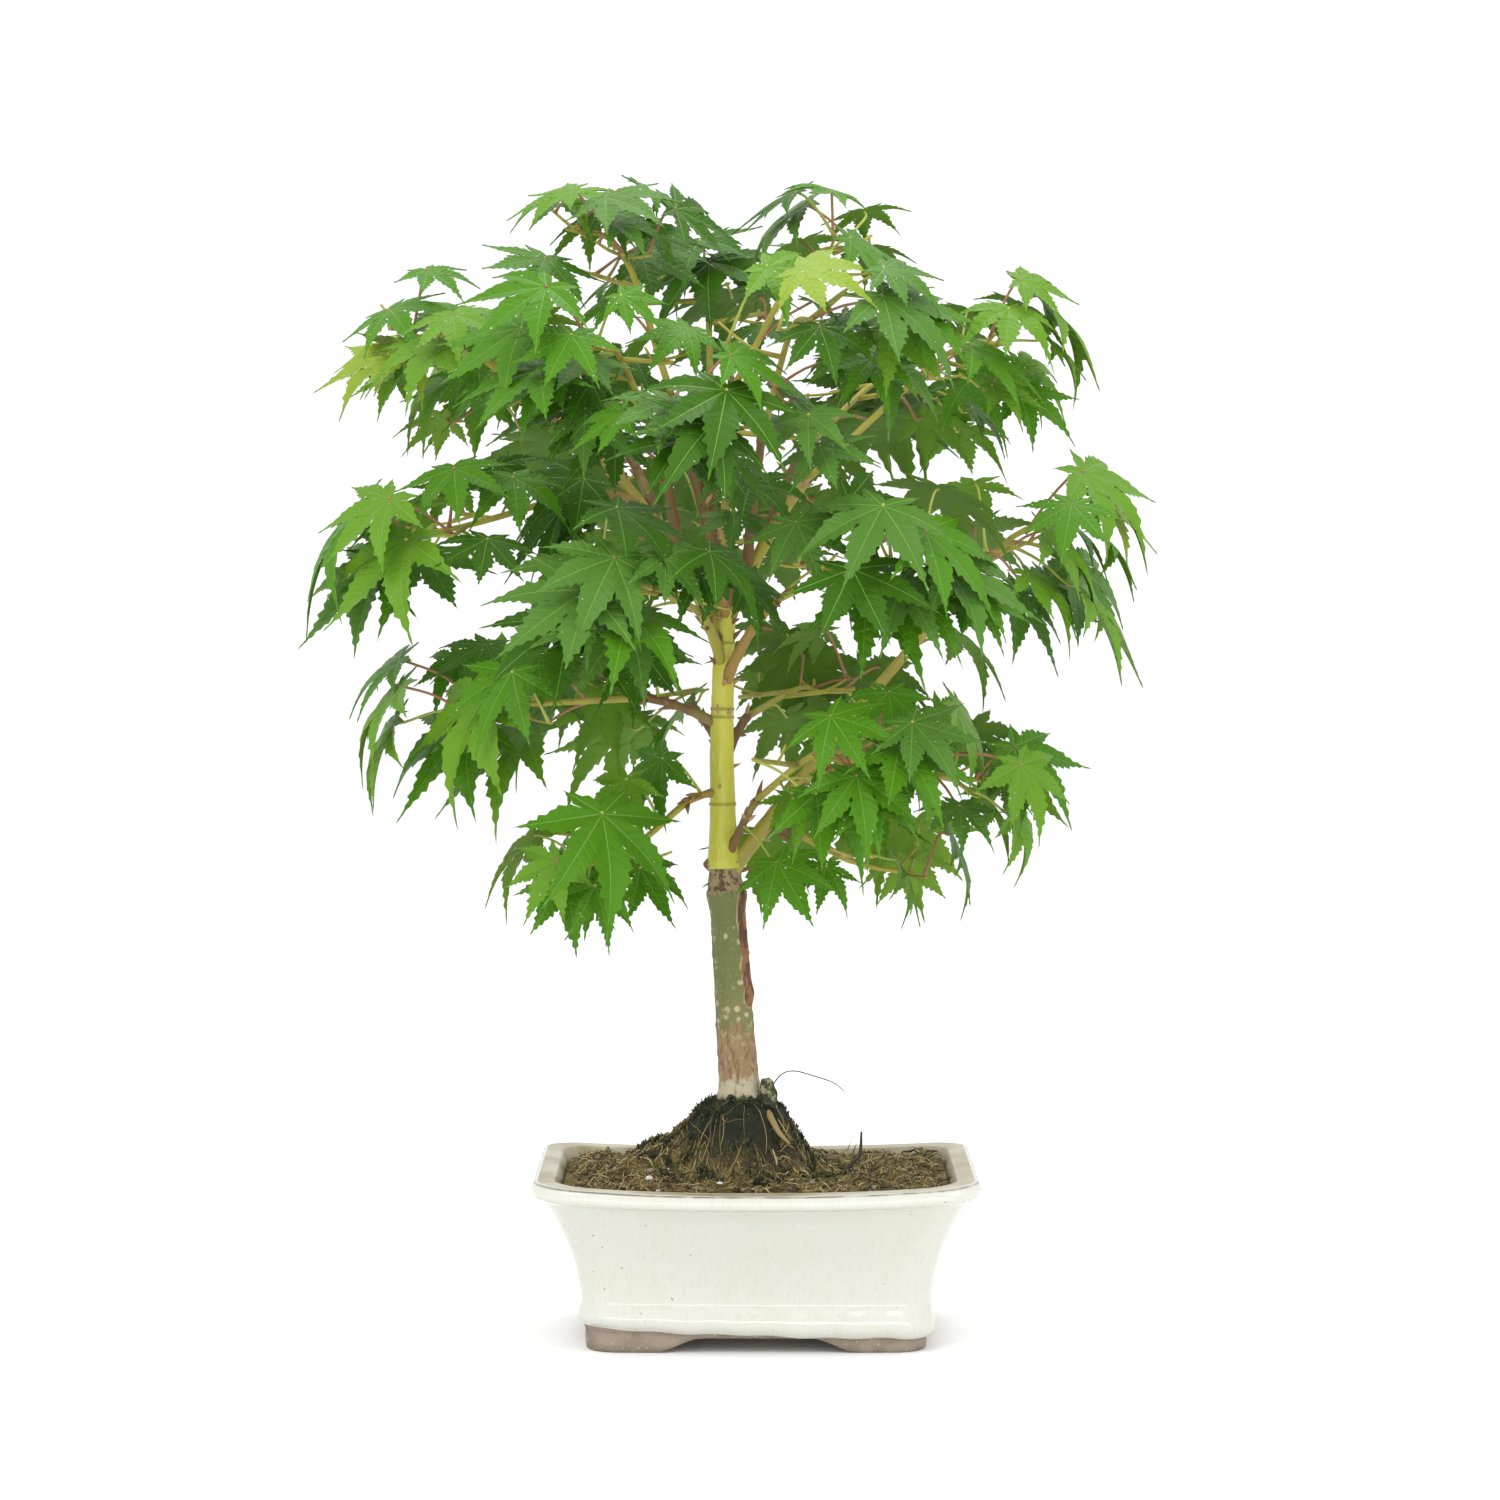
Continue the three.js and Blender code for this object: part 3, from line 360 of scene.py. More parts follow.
def level_way(turn):
    """The level direction at that turn."""
    return np.array([math.cos(turn), math.sin(turn), 0.0])


def distances(points, spots):
    return np.sqrt(((points[:, None, :] - spots[None, :, :]) ** 2).sum(2))


def curve_through(knots, steps):
    """Points on a smooth curve through the knots, with that many steps between two of them."""
    knots = np.asarray(knots, float)
    padded = np.vstack([2 * knots[0] - knots[1], knots, 2 * knots[-1] - knots[-2]])
    points = []
    for before, start, end, after in zip(padded, padded[1:], padded[2:], padded[3:]):
        for step in range(steps):
            t = step / steps
            way = (end - before) * t
            way = way + (2 * before - 5 * start + 4 * end - after) * t * t
            way = way + (3 * start - before - 3 * end + after) * t ** 3
            points.append(start + way / 2)
    points.append(knots[-1])
    return np.array(points)


def ring_faces(rows, count):
    """Quads between rings of the same count of points."""
    row, column = np.meshgrid(np.arange(rows - 1), np.arange(count), indexing="ij")
    here = row * count + column
    beside = row * count + (column + 1) % count
    return np.stack([here, beside, beside + count, here + count], 2).reshape(-1)


def add_object(name, data):
    item = bpy.data.objects.new(name, data)
    bpy.context.scene.collection.objects.link(item)
    return item


class Bundle:
    """Many small shapes gathered into one mesh."""

    def __init__(self):
        self.points = []
        self.corners = []
        self.sizes = []
        self.slots = []
        self.marks = []
        self.count = 0

    def add(self, points, corners, sizes, slot=0, mark=0.0):
        """slot is the material of each face, mark a value that the material can read."""
        self.points.append(np.asarray(points, float))
        self.corners.append(np.asarray(corners) + self.count)
        self.sizes.append(np.asarray(sizes))
        self.slots.append(np.broadcast_to(slot, len(sizes)))
        self.marks.append(np.broadcast_to(mark, len(points)))
        self.count += len(points)

    def mesh(self, name):
        corners = np.concatenate(self.corners).astype(np.int32)
        sizes = np.concatenate(self.sizes)
        starts = np.concatenate([[0], np.cumsum(sizes)[:-1]]).astype(np.int32)
        mesh = bpy.data.meshes.new(name)
        mesh.vertices.add(self.count)
        mesh.vertices.foreach_set("co", to_metres(np.concatenate(self.points)).ravel())
        mesh.loops.add(len(corners))
        mesh.loops.foreach_set("vertex_index", corners)
        mesh.polygons.add(len(sizes))
        mesh.polygons.foreach_set("loop_start", starts)
        mesh.polygons.foreach_set("material_index", np.concatenate(self.slots).astype(np.int32))
        mesh.polygons.foreach_set("use_smooth", np.ones(len(sizes), bool))
        mesh.update(calc_edges=True)
        marks = mesh.attributes.new("mark", "FLOAT", "POINT")
        marks.data.foreach_set("value", np.concatenate(self.marks).astype(np.float32))
        return mesh

    def piece(self, name, materials, slot, *nodes):
        """The bundle as a piece that rides on the plant and stands for the nodes."""
        mesh = self.mesh(name)
        for material in materials:
            mesh.materials.append(material)
        piece = add_object(name, mesh)
        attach(piece, "root")
        if nodes:
            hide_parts(*nodes)
        return piece


def tube(path, radii, sides):
    """Points and faces of a closed tube; radii has one value for each row or for each point."""
    path = np.asarray(path, float)
    rows = len(path)
    along = np.gradient(path, axis=0)
    along /= np.linalg.norm(along, axis=1)[:, None]
    whole = unit(path[-1] - path[0])
    level = np.array([0.0, 1.0, 0.0]) if abs(whole[2]) > 0.999 else unit(np.cross(whole, UP))
    side = level - along * (along @ level)[:, None]
    side /= np.linalg.norm(side, axis=1)[:, None]
    face = np.cross(along, side)
    turns = np.arange(sides) * 2 * math.pi / sides
    ring = side[:, None] * np.cos(turns)[None, :, None] + face[:, None] * np.sin(turns)[None, :, None]
    radii = np.asarray(radii, float)
    radii = radii if radii.ndim == 2 else np.repeat(radii[:, None], sides, 1)
    points = (path[:, None] + ring * radii[:, :, None]).reshape(-1, 3)
    caps = np.concatenate([np.arange(sides)[::-1], (rows - 1) * sides + np.arange(sides)])
    sizes = np.concatenate([np.full((rows - 1) * sides, 4), [sides, sides]])
    return points, np.concatenate([ring_faces(rows, sides), caps]), sizes


# ---------------------------------------------------------------- materials


def shader(name, colour, roughness, **sockets):
    """A plain surface; sockets are the shader's own, with _ for a space."""
    material = bpy.data.materials.new(name)
    material.use_nodes = True
    surface = material.node_tree.nodes["Principled BSDF"]
    surface.inputs["Base Color"].default_value = (*linear(colour), 1)
    surface.inputs["Roughness"].default_value = roughness
    for socket, value in sockets.items():
        surface.inputs[socket.replace("_", " ")].default_value = value
    return material


def node(material, kind, **inputs):
    """A shader node; each input, with _ for a space, is a number or another node's socket."""
    tree = material.node_tree
    made = tree.nodes.new(f"ShaderNode{kind}")
    for name, value in inputs.items():
        feed(tree, made.inputs[name.replace("_", " ")], value)
    return made


def feed(tree, socket, value):
    if isinstance(value, bpy.types.NodeSocket):
        tree.links.new(value, socket)
    else:
        socket.default_value = value


def math_node(material, operation, *values):
    """Shares or numbers put through one operation."""
    made = node(material, "Math")
    made.operation = operation
    for socket, value in zip(made.inputs, values):
        feed(material.node_tree, socket, value)
    return made.outputs["Value"]


def own_place(material):
    """A point's place in the piece's own coordinates."""
    return node(material, "TexCoord").outputs["Object"]


def marked(material):
    """The mark that a bundle gives each point."""
    mark = node(material, "Attribute")
    mark.attribute_name = "mark"
    return mark.outputs["Fac"]


def pattern(material, size, rise=1.0, detail=4.0):
    """Noise with lumps of that size in metres, drawn out upright where rise is below 1."""
    scaled = node(material, "Mapping", Vector=own_place(material), Scale=(1, 1, rise))
    lumps = node(material, "TexNoise", Vector=scaled.outputs["Vector"], Scale=1 / size, Detail=detail)
    return lumps.outputs["Fac"]


def stepped(material, value, low, high, low_to=0.0, high_to=1.0):
    """The value mapped smoothly from the range low..high onto low_to..high_to."""
    limits = {"From_Min": low, "From_Max": high, "To_Min": low_to, "To_Max": high_to}
    ranged = node(material, "MapRange", Value=value, **limits)
    ranged.interpolation_type = "SMOOTHSTEP"
    return ranged.outputs["Result"]


def roughen(material, height, depth):
    """Relief of that depth in metres; reliefs add up."""
    surface = material.node_tree.nodes["Principled BSDF"]
    bump = node(material, "Bump", Height=height, Distance=depth)
    if surface.inputs["Normal"].is_linked:
        feed(material.node_tree, bump.inputs["Normal"], surface.inputs["Normal"].links[0].from_socket)
    feed(material.node_tree, surface.inputs["Normal"], bump.outputs["Normal"])


def tint(material, share, colour, within=None):
    """Mixes a colour over the surface's own by the share, which a second one may limit."""
    if within is not None:
        share = math_node(material, "MULTIPLY", share, within)
    base = material.node_tree.nodes["Principled BSDF"].inputs["Base Color"]
    mix = material.node_tree.nodes.new("ShaderNodeMix")
    mix.data_type = "RGBA"
    before = base.links[0].from_socket if base.is_linked else base.default_value
    for name, value in (("A", before), ("B", (*linear(colour), 1)), ("Factor", share)):
        feed(material.node_tree, mix.inputs[name], value)
    material.node_tree.links.new(mix.outputs["Result"], base)


def clouds(material, colour, size, low, high, most=1.0, least=0.0, rise=1.0, detail=4.0, within=None):
    """Tints by noise of that size: by the share least where it is below low, by most above high."""
    share = stepped(material, pattern(material, size, rise, detail), low, high, least, most)
    tint(material, share, colour, within)


def vary_roughness(material, size, low, high):
    surface = material.node_tree.nodes["Principled BSDF"]
    ranged = stepped(material, pattern(material, size), 0.3, 0.7, low, high)
    material.node_tree.links.new(ranged, surface.inputs["Roughness"])


def wavered(material, value, size, rise, waver):
    """The value with noise added, which makes the borders drawn from it uneven."""
    return math_node(material, "MULTIPLY_ADD", pattern(material, size, rise), waver, value)


def height_share(material, low, high, waver):
    """0 at the height low and 1 at high, in metres, with a border that noise moves by waver."""
    split = node(material, "SeparateXYZ", Vector=own_place(material))
    height = wavered(material, split.outputs["Z"], 0.0024, 0.4, waver)
    return stepped(material, height, low + waver / 2, high + waver / 2)


def round_spots(material, cell, radius):
    """Round spots, one to a cell of that size in metres: 1 inside a spot and 0 outside."""
    cells = node(material, "TexVoronoi", Vector=own_place(material), Scale=1 / cell)
    return stepped(material, cells.outputs["Distance"], radius / cell, 0.5 * radius / cell)


def leaf_material(name, colour, roughness, ribs=True):
    """A plain green whose marked rows stand out as fine side veins."""
    material = shader(name, colour, roughness, Specular_IOR_Level=0.16)
    roughen(material, pattern(material, 0.003, detail=2), 0.0003)
    if ribs:
        roughen(material, stepped(material, marked(material), 0.5, 1.0), 0.00012)
    return material


def leaf_materials():
    """Top and underside of each green, then the veins and the water flecks."""
    materials = []
    for name, colour in LEAF_GREENS.items():
        materials.append(leaf_material(f"leaf_{name}", colour, 0.42))
        under = lerp(np.array(colour), np.array(UNDER_TINT), UNDER_SHARE)
        materials.append(leaf_material(f"leaf_{name}_under", under, 0.6))
    materials.append(leaf_material("leaf_vein", VEIN_COLOUR, 0.45, ribs=False))
    materials.append(leaf_material("water_fleck", FLECK_COLOUR, 0.3, ribs=False))
    return materials


def young_bark(name, colour):
    material = shader(name, colour, 0.55)
    roughen(material, pattern(material, 0.002, 0.25), 0.0004)
    vary_roughness(material, 0.004, 0.45, 0.7)
    return material


def young_barks(colours):
    return [young_bark(name, colour) for name, colour in colours.items()]


def bough_barks():
    """Bark of each tone, clouded with olive."""
    barks = {name: young_bark(f"bark_{name}", colour) for name, colour in BOUGH_COLOURS.items()}
    for material in barks.values():
        clouds(material, (146, 132, 72), 0.009, 0.46, 0.66, 0.6, rise=0.3)
    return barks


def add_speckle(material):
    """Faint clouds and fine upright streaks in a glaze, and a few brown specks."""
    clouds(material, (206, 202, 184), 0.02, 0.4, 0.66, 0.3)
    clouds(material, (198, 192, 170), 0.0011, 0.5, 0.7, 0.3, rise=0.22, detail=2)
    clouds(material, (128, 108, 80), 0.0016, 0.77, 0.81, 0.8, detail=1)


def add_thin_edge(material):
    """A broken brown line along the marked edge, where the glaze is thin."""
    clouds(material, (112, 96, 76), 0.008, 0.35, 0.55, least=0.25, within=marked(material))


def glaze_material():
    material = shader("cream_glaze", (209, 209, 200), 0.12, Coat_Weight=0.6, Coat_Roughness=0.03)
    add_speckle(material)
    add_thin_edge(material)
    roughen(material, pattern(material, 0.01, detail=2), 0.0003)
    return material


def rim_glaze_material():
    material = shader("rim_glaze", (172, 159, 128), 0.35)
    clouds(material, (156, 140, 106), 0.012, 0.4, 0.65, 0.7)
    clouds(material, (206, 200, 178), 0.03, 0.46, 0.6, 0.7)
    add_speckle(material)
    add_thin_edge(material)
    return material


def clay_material():
    material = shader("bare_clay", (150, 136, 120), 0.85)
    clouds(material, (136, 122, 106), 0.006, 0.4, 0.65)
    clouds(material, (104, 90, 74), 0.001, 0.66, 0.74, 0.5)
    clouds(material, (206, 200, 188), 0.0015, 0.64, 0.7, 0.7)
    roughen(material, pattern(material, 0.0015), 0.0005)
    return material


def soil_material():
    """Brown soil that darkens to green-black where it is marked as mossy."""
    material = shader("soil", (120, 102, 62), 0.95)
    clouds(material, (88, 74, 44), 0.008, 0.42, 0.6)
    clouds(material, (156, 138, 92), 0.0022, 0.52, 0.66, 0.8)
    clouds(material, (50, 42, 26), 0.0014, 0.6, 0.7, 0.7)
    tint(material, marked(material), (24, 29, 17))
    clouds(material, (122, 118, 80), 0.0012, 0.68, 0.76, 0.7)
    roughen(material, pattern(material, 0.0018), 0.0016)
    return material


def add_bark_spots(material):
    """Small pale spots in patches, and larger broken ones on the trunk's lower half."""
    patches = stepped(material, pattern(material, 0.014), 0.43, 0.5)
    tint(material, round_spots(material, 0.0044, 0.0014), (190, 178, 144), patches)
    low_half = height_share(material, SPOTS_BELOW + 0.004, SPOTS_BELOW - 0.004, 0.02)
    broken = stepped(material, pattern(material, 0.0012), 0.4, 0.55)
    large = math_node(material, "MULTIPLY", round_spots(material, 0.0058, 0.0018), broken)
    tint(material, large, (182, 168, 132), low_half)


def add_trunk_bands(material):
    """Tan bark with dark pits and light patches, then a pale foot, then a rough beige top."""
    tan = height_share(material, TAN_BELOW + 0.003, TAN_BELOW - 0.003, 0.028)
    tint(material, tan, (150, 124, 88))
    clouds(material, (120, 92, 62), 0.0013, 0.5, 0.6, 0.8, rise=0.3, within=tan)
    clouds(material, (180, 164, 130), 0.003, 0.56, 0.66, 0.7, within=tan)
    foot = height_share(material, PALE_BELOW + 0.0015, PALE_BELOW - 0.0015, 0.014)
    clouds(material, (184, 174, 148), 0.0026, 0.36, 0.5, least=0.3, within=foot)
    head = height_share(material, KNUCKLE_ABOVE, KNUCKLE_ABOVE + 0.0012, 0.006)
    tint(material, head, (160, 140, 104))
    clouds(material, (84, 66, 44), 0.0018, 0.5, 0.58, 0.9, within=head)


def add_scar(material):
    """A pale border, then red-brown, then torn dark bark, as the mark of the scar rises."""
    scar = wavered(material, marked(material), 0.0035, 0.5, 0.7)
    border = stepped(material, scar, 0.5, 0.58)
    clouds(material, (186, 168, 132), 0.006, 0.44, 0.56, 0.8, within=border)
    tint(material, stepped(material, scar, 0.62, 0.74, 0, 0.9), (134, 88, 54))
    middle = stepped(material, scar, 0.6, 0.8)
    clouds(material, (82, 54, 38), 0.0022, 0.48, 0.58, 0.9, rise=0.4, within=middle)


def old_bark_material():
    """Olive bark, clouded and spotted, with the trunk's bands and its scar."""
    material = shader("old_bark", (121, 121, 72), 0.7)
    clouds(material, (104, 112, 62), 0.01, 0.42, 0.6, 0.7, rise=0.35)
    clouds(material, (152, 148, 108), 0.0012, 0.58, 0.7, 0.5)
    add_bark_spots(material)
    add_trunk_bands(material)
    add_scar(material)
    roughen(material, pattern(material, 0.003, 0.3), 0.001)
    roughen(material, pattern(material, 0.0011, 0.4), 0.0005)
    return material


def mossy_bark_material():
    """Rough pale bark under patches of dark moss."""
    material = shader("mossy_bark", (150, 144, 112), 0.9)
    clouds(material, (66, 72, 44), 0.0026, 0.42, 0.54)
    clouds(material, (38, 42, 26), 0.0012, 0.5, 0.62, 0.8)
    roughen(material, pattern(material, 0.0015), 0.001)
    return material


def leader_material():
    """Yellow-green bark with greener clouds, pale streaks and brown where it is marked."""
    material = shader("leader_bark", (212, 207, 80), 0.42)
    clouds(material, (182, 186, 64), 0.01, 0.42, 0.62, 0.6, rise=0.3)
    clouds(material, (224, 216, 140), 0.0016, 0.6, 0.7, 0.5, rise=0.2)
    tint(material, marked(material), (112, 96, 46))
    roughen(material, pattern(material, 0.0016, 0.2), 0.0004)
    return material


# ---------------------------------------------------------------- pot


def plan_radius_to_width(radius):
    """Half width of a ring of the pot's plan."""
    shrunk = radius * (POT_FLOOR_FROM - POT_SLIMMER) / POT_FLOOR_FROM
    return np.where(radius > POT_FLOOR_FROM, radius - POT_SLIMMER, shrunk)


def quarter_plan(long, corner, short):
    """Shares along a quarter of the plan: along the long side, turn in the corner, short side."""
    steps = [(share, 0.0, 1.0) for share in np.arange(long) / long]
    steps += [(1.0, turn, 1.0) for turn in np.arange(corner) * math.pi / 2 / corner]
    steps += [(1.0, math.pi / 2, 1 - share) for share in np.arange(short) / short]
    return steps


def plan_ring(radius, quarter):
    """One closed ring of the pot's plan, from the middle of the back round to the left."""
    width = float(plan_radius_to_width(radius))
    bend = POT_CORNER * radius
    spots = []
    for along, turn, down in quarter:
        x = along * (radius - bend) + bend * math.sin(turn)
        y = width - min(bend, width * 0.9) * (1 - math.cos(turn))
        spots.append((x, y * down))
    end = (radius, 0.0)
    first = spots + [end]
    second = [(x, -y) for x, y in reversed(spots[1:])]
    half = first + second + [(0.0, -spots[0][1])]
    ring = np.array(half + [(-x, y) for x, y in reversed(half[1:-1])])
    share = lerp(POT_BOW.low, POT_BOW.high, smooth(POT_BOW.from_radius, POT_HALF_LENGTH, radius))
    bow = 1 + share * (1 - (ring[:, 0] / radius) ** 2)
    return np.column_stack([ring[:, 0], ring[:, 1] * bow])[::-1]


def turned(profile, quarter, lift=None):
    """Points and faces of a closed body whose outline, in pairs of radius and height, follows the
    pot's plan; lift gives the heights of a ring's points, which are level without it."""
    rings = []
    for radius, height in profile[1:-1]:
        flat = plan_ring(radius, quarter)
        rise = np.full(len(flat), float(height)) if lift is None else lift(flat, radius, height)
        rings.append(np.column_stack([flat, rise]))
    count = len(rings[0])
    points = np.vstack(rings + [[(0, 0, profile[0][1])], [(0, 0, profile[-1][1])]])
    quads = ring_faces(len(rings), count)
    spot = np.arange(count)
    onward = (spot + 1) % count
    last = (len(rings) - 1) * count
    low = np.stack([onward, spot, np.full(count, len(points) - 2)], 1).reshape(-1)
    high = np.stack([last + spot, last + onward, np.full(count, len(points) - 1)], 1).reshape(-1)
    sizes = np.concatenate([np.full(len(quads) // 4, 4), np.full(2 * count, 3)])
    return points, np.concatenate([quads, low, high]), sizes


def carve(piece, cutter):
    """Cuts one object out of a piece and drops the cutter."""
    cut = piece.modifiers.new("cut", "BOOLEAN")
    cut.operation = "DIFFERENCE"
    cut.object = cutter
    evaluated = piece.evaluated_get(bpy.context.evaluated_depsgraph_get())
    mesh = bpy.data.meshes.new_from_object(evaluated)
    piece.modifiers.clear()
    piece.data = mesh
    bpy.data.objects.remove(cutter)


def drainage_cutter(side):
    bundle = Bundle()
    x = side * HOLE_OFFSET
    bundle.add(*tube([(x, 0, -POT_FLOOR_TOP), (x, 0, 2 * POT_FLOOR_TOP)], [HOLE_RADIUS] * 2, 40))
    return add_object("cutter", bundle.mesh("cutter"))


def rim_lift(flat, height):
    """How far the rim and what is near it dips between its raised corners."""
    curve = lerp(-RIM_CURVE.dip, RIM_CURVE.rise, (np.abs(flat[:, 0]) / POT_HALF_LENGTH) ** 2.5)
    return smooth(RIM_CURVE.from_height, POT_HEIGHT, height) * curve


def glaze_lift(flat, radius, height):
    """The glaze ran lower on the right, so its lower edge isn't level; the rim has its dip."""
    across = flat[:, 0] / GLAZE_EDGE.half
    run = GLAZE_EDGE.middle + GLAZE_EDGE.slope * across + GLAZE_EDGE.bow * across ** 2
    wave = 0.25 * np.sin(flat[:, 0] * 0.31) + 0.2 * np.sin(flat[:, 0] * 0.13 + 2)
    share = (1 - smooth(*GLAZE_EDGE.fade, height)) * (radius > GLAZE_EDGE.from_radius)
    return height + (run + wave) * share + rim_lift(flat, height)


def pot_slot(radius, height, inside):
    """0 for the glaze, 1 for bare clay, 2 for the duller glaze of the rim's top and the inside."""
    if radius < BARE_CLAY.below_radius and height < BARE_CLAY.below_height:
        return 1
    if inside or (height > RIM_TOP_FROM and radius < RIM_LINE.from_radius):
        return 2
    return 0


def pot_body(materials):
    """The glazed pot, with a dark line round the rim's edge and two drainage holes."""
    steps = 5
    wall = [tuple(point) for point in curve_through(POT_WALL + POT_LIP + POT_INSIDE, steps)]
    under = [(radius, POT_UNDERSIDE) for radius in (0, 20, 50, 58)] + [(61, 4.6)]
    profile = under + wall + [(radius, POT_FLOOR_TOP) for radius in (48, 20, 0)]
    quarter = quarter_plan(24, 12, 14)
    points, corners, sizes = turned(profile, quarter, glaze_lift)
    ring = 4 * len(quarter)
    inside_from = len(under) + steps * len(POT_WALL + POT_LIP)
    slots = []
    for row, (radius, height) in enumerate(profile[1:-2]):
        slots += [pot_slot(radius, height, row >= inside_from)] * ring
    slots += [1] * (2 * ring)
    radii, heights = np.repeat(np.array(profile[1:-1]), ring, axis=0).T
    edge = bell(heights, RIM_LINE.height, RIM_LINE.width) * (radii > RIM_LINE.from_radius)
    bundle = Bundle()
    bundle.add(points, corners, sizes, slots, np.append(edge, [0, 0]))
    body = bundle.piece("pot_body", materials, "glaze", "pot")
    for side in (-1, 1):
        carve(body, drainage_cutter(side))


def foot_heights(flat, height):
    """The feet's underside, arched up between the corners."""
    across = np.abs(flat)
    long = 1 - smooth(ARCH_LONG.top, ARCH_LONG.foot, across[:, 0])
    short = 1 - smooth(ARCH_SHORT.top, ARCH_SHORT.foot, across[:, 1])
    raised = POT_FOOT + (POT_UNDERSIDE + 0.2 - POT_FOOT) * np.maximum(long, short)
    return np.maximum(raised, height)


def pot_feet(clay):
    """A ring of clay under the pot that the arches part into four feet."""
    rings = []
    for radius, height in FOOT_PROFILE:
        flat = plan_ring(radius, quarter_plan(36, 10, 18))
        rings.append(np.column_stack([flat, foot_heights(flat, height)]))
    points = np.vstack(rings)
    corners = ring_faces(len(rings) + 1, len(rings[0])) % len(points)
    bundle = Bundle()
    bundle.add(points, corners, np.full(len(corners) // 4, 4))
    bundle.piece("pot_feet", [clay], "glaze", "pot")


# ---------------------------------------------------------------- soil and what lies on it


def heap_height(heap, x, y):
    """Height of a low round heap."""
    across = (x - heap.at[0]) / heap.half[0]
    along = (y - heap.at[1]) / heap.half[1]
    return heap.height * np.exp(-(across ** 2) - along ** 2)


def from_mound(x, y):
    """Distance from the mound's middle, with the mound's plan taken as round."""
    return np.hypot(x - MOUND_CENTRE[0], (y - MOUND_CENTRE[1]) * MOUND_LENGTHWAYS)


def soil_top(x, y):
    """Height of the soil's top, with slopes a little hollower than the solid's."""
    mound = 1 - smooth(MOUND_TOP_RADIUS, MOUND_FOOT_RADIUS, from_mound(x, y))
    rough = 0.8 * np.sin(x * 0.31 + y * 0.17) + 0.7 * np.sin(y * 0.37 - x * 0.13)
    return SOIL_LEVEL + MOUND_HEIGHT * mound ** MOUND_POWER + heap_height(HUMP, x, y) + rough * (1 - mound)


def crumbs(x, y):
    """Small lumps on the soil, and a loose heap on the left."""
    fine = noise.fractal(Vector((x * 0.3, y * 0.3, 1.7)), 0.8, 2.1, 3)
    coarse = noise.noise(Vector((x * 0.09, y * 0.09, 8.2)))
    return 0.85 * fine + 1.1 * coarse + heap_height(LOOSE_HEAP, x, y)


def soil_lift(flat, radius, height):
    if height != SOIL_LEVEL:
        return np.full(len(flat), float(height))
    tops = soil_top(flat[:, 0], flat[:, 1])
    edge = smooth(POT_MOUTH, 60, radius)
    tops = tops + (1 - smooth(69, 50, radius)) * rim_lift(flat, height)
    return tops + edge * np.array([crumbs(x, y) for x, y in flat])


def moss_share(x, y):
    """How mossy the soil is: most on the mound, in patches."""
    mound = 1 - smooth(*MOSSY, from_mound(x, y))
    patch = np.array([noise.noise(Vector((a * 0.11, b * 0.11, 3.1))) for a, b in zip(x, y)])
    return np.clip(mound * smooth(-0.7, -0.1, patch) + 0.2 * smooth(0.2, 0.4, patch), 0, 1)


def soil_body(material):
    profile = [(radius, POT_FLOOR_TOP + GAP) for radius in (0, 30, 51)] + [(60, 30), (69.3, 56.2)]
    profile += [(radius, SOIL_LEVEL) for radius in np.linspace(68.8, 1.2, 62)]
    profile += [(0, float(soil_top(0, 0)))]
    points, corners, sizes = turned(profile, quarter_plan(22, 8, 14), soil_lift)
    mark = 0.95 * moss_share(points[:, 0], points[:, 1])
    bundle = Bundle()
    bundle.add(points, corners, sizes, 0, mark)
    bundle.piece("soil_body", [material], "soil", "soil")


def on_soil(x, y, above=0.0):
    return np.array([x, y, float(soil_top(x, y)) + crumbs(x, y) + above])


def strewn(draw, mound):
    """A place anywhere on the soil, and whether it lies nearer to the mound's middle than mound."""
    x = (2 * draw() - 1) * STREWN.half_length
    bowed = STREWN.half_width + STREWN.bow * (1 - (x / STREWN.half_length) ** 2)
    y = (2 * draw() - 1) * bowed
    return x, y, math.hypot(x - MOUND_CENTRE[0], y - MOUND_CENTRE[1]) < mound


def soil_fibres(materials):
    """Straws and fine roots strewn on the soil, fewer on the mound."""
    draw = seeded(SEED.fibres)
    bundle = Bundle()
    for _ in range(FIBRES.count):
        x, y, on_mound = strewn(draw, FIBRES.mound)
        if on_mound and draw() < 0.75:
            continue
        turn = 2 * math.pi * draw()
        length = between(FIBRES.length, draw() ** 2)
        bend = draw() - 0.5
        path = []
        for share in np.linspace(-0.5, 0.5, 6):
            swing = turn + bend * share * 2
            spot = (x + math.cos(swing) * length * share, y + math.sin(swing) * length * share)
            lift = 0.3 + 2.0 * draw() * (share + 0.5) * (draw() > 0.6)
            path.append(on_soil(*spot, lift))
        radii = between(FIBRES.radius, draw() ** 2) * np.array([0.6, 1, 1, 1, 0.9, 0.4])
        bundle.add(*tube(path, radii, 3), int(draw() * len(materials)))
    bundle.piece("soil_fibres", materials, "soil")


def pebble(bundle, centre, size, draw, slot):
    """A small rounded stone as a squashed, lumpy ball."""
    rows, sides = 7, 10
    turns = np.linspace(0.06, math.pi - 0.06, rows)
    path = [centre + UP * size * 0.7 * math.cos(turn) for turn in turns]
    lumps = 1 + 0.2 * np.array([[draw() - 0.5 for _ in range(sides)] for _ in range(rows)])
    bundle.add(*tube(path[::-1], size * np.sin(turns)[::-1, None] * lumps, sides), slot)


def soil_stones(materials):
    draw = seeded(SEED.stones)
    bundle = Bundle()
    for x, y, size, slot in SHOWN_STONES:
        pebble(bundle, on_soil(x, y, 0.4), size, draw, slot)
    for _ in range(STONES.count):
        x, y, on_mound = strewn(draw, STONES.mound)
        if not on_mound:
            size = between(STONES.size, draw() ** 2)
            pebble(bundle, on_soil(x, y, 0.2), size, draw, int(draw() < 0.7))
    bundle.piece("soil_stones", materials, "soil")


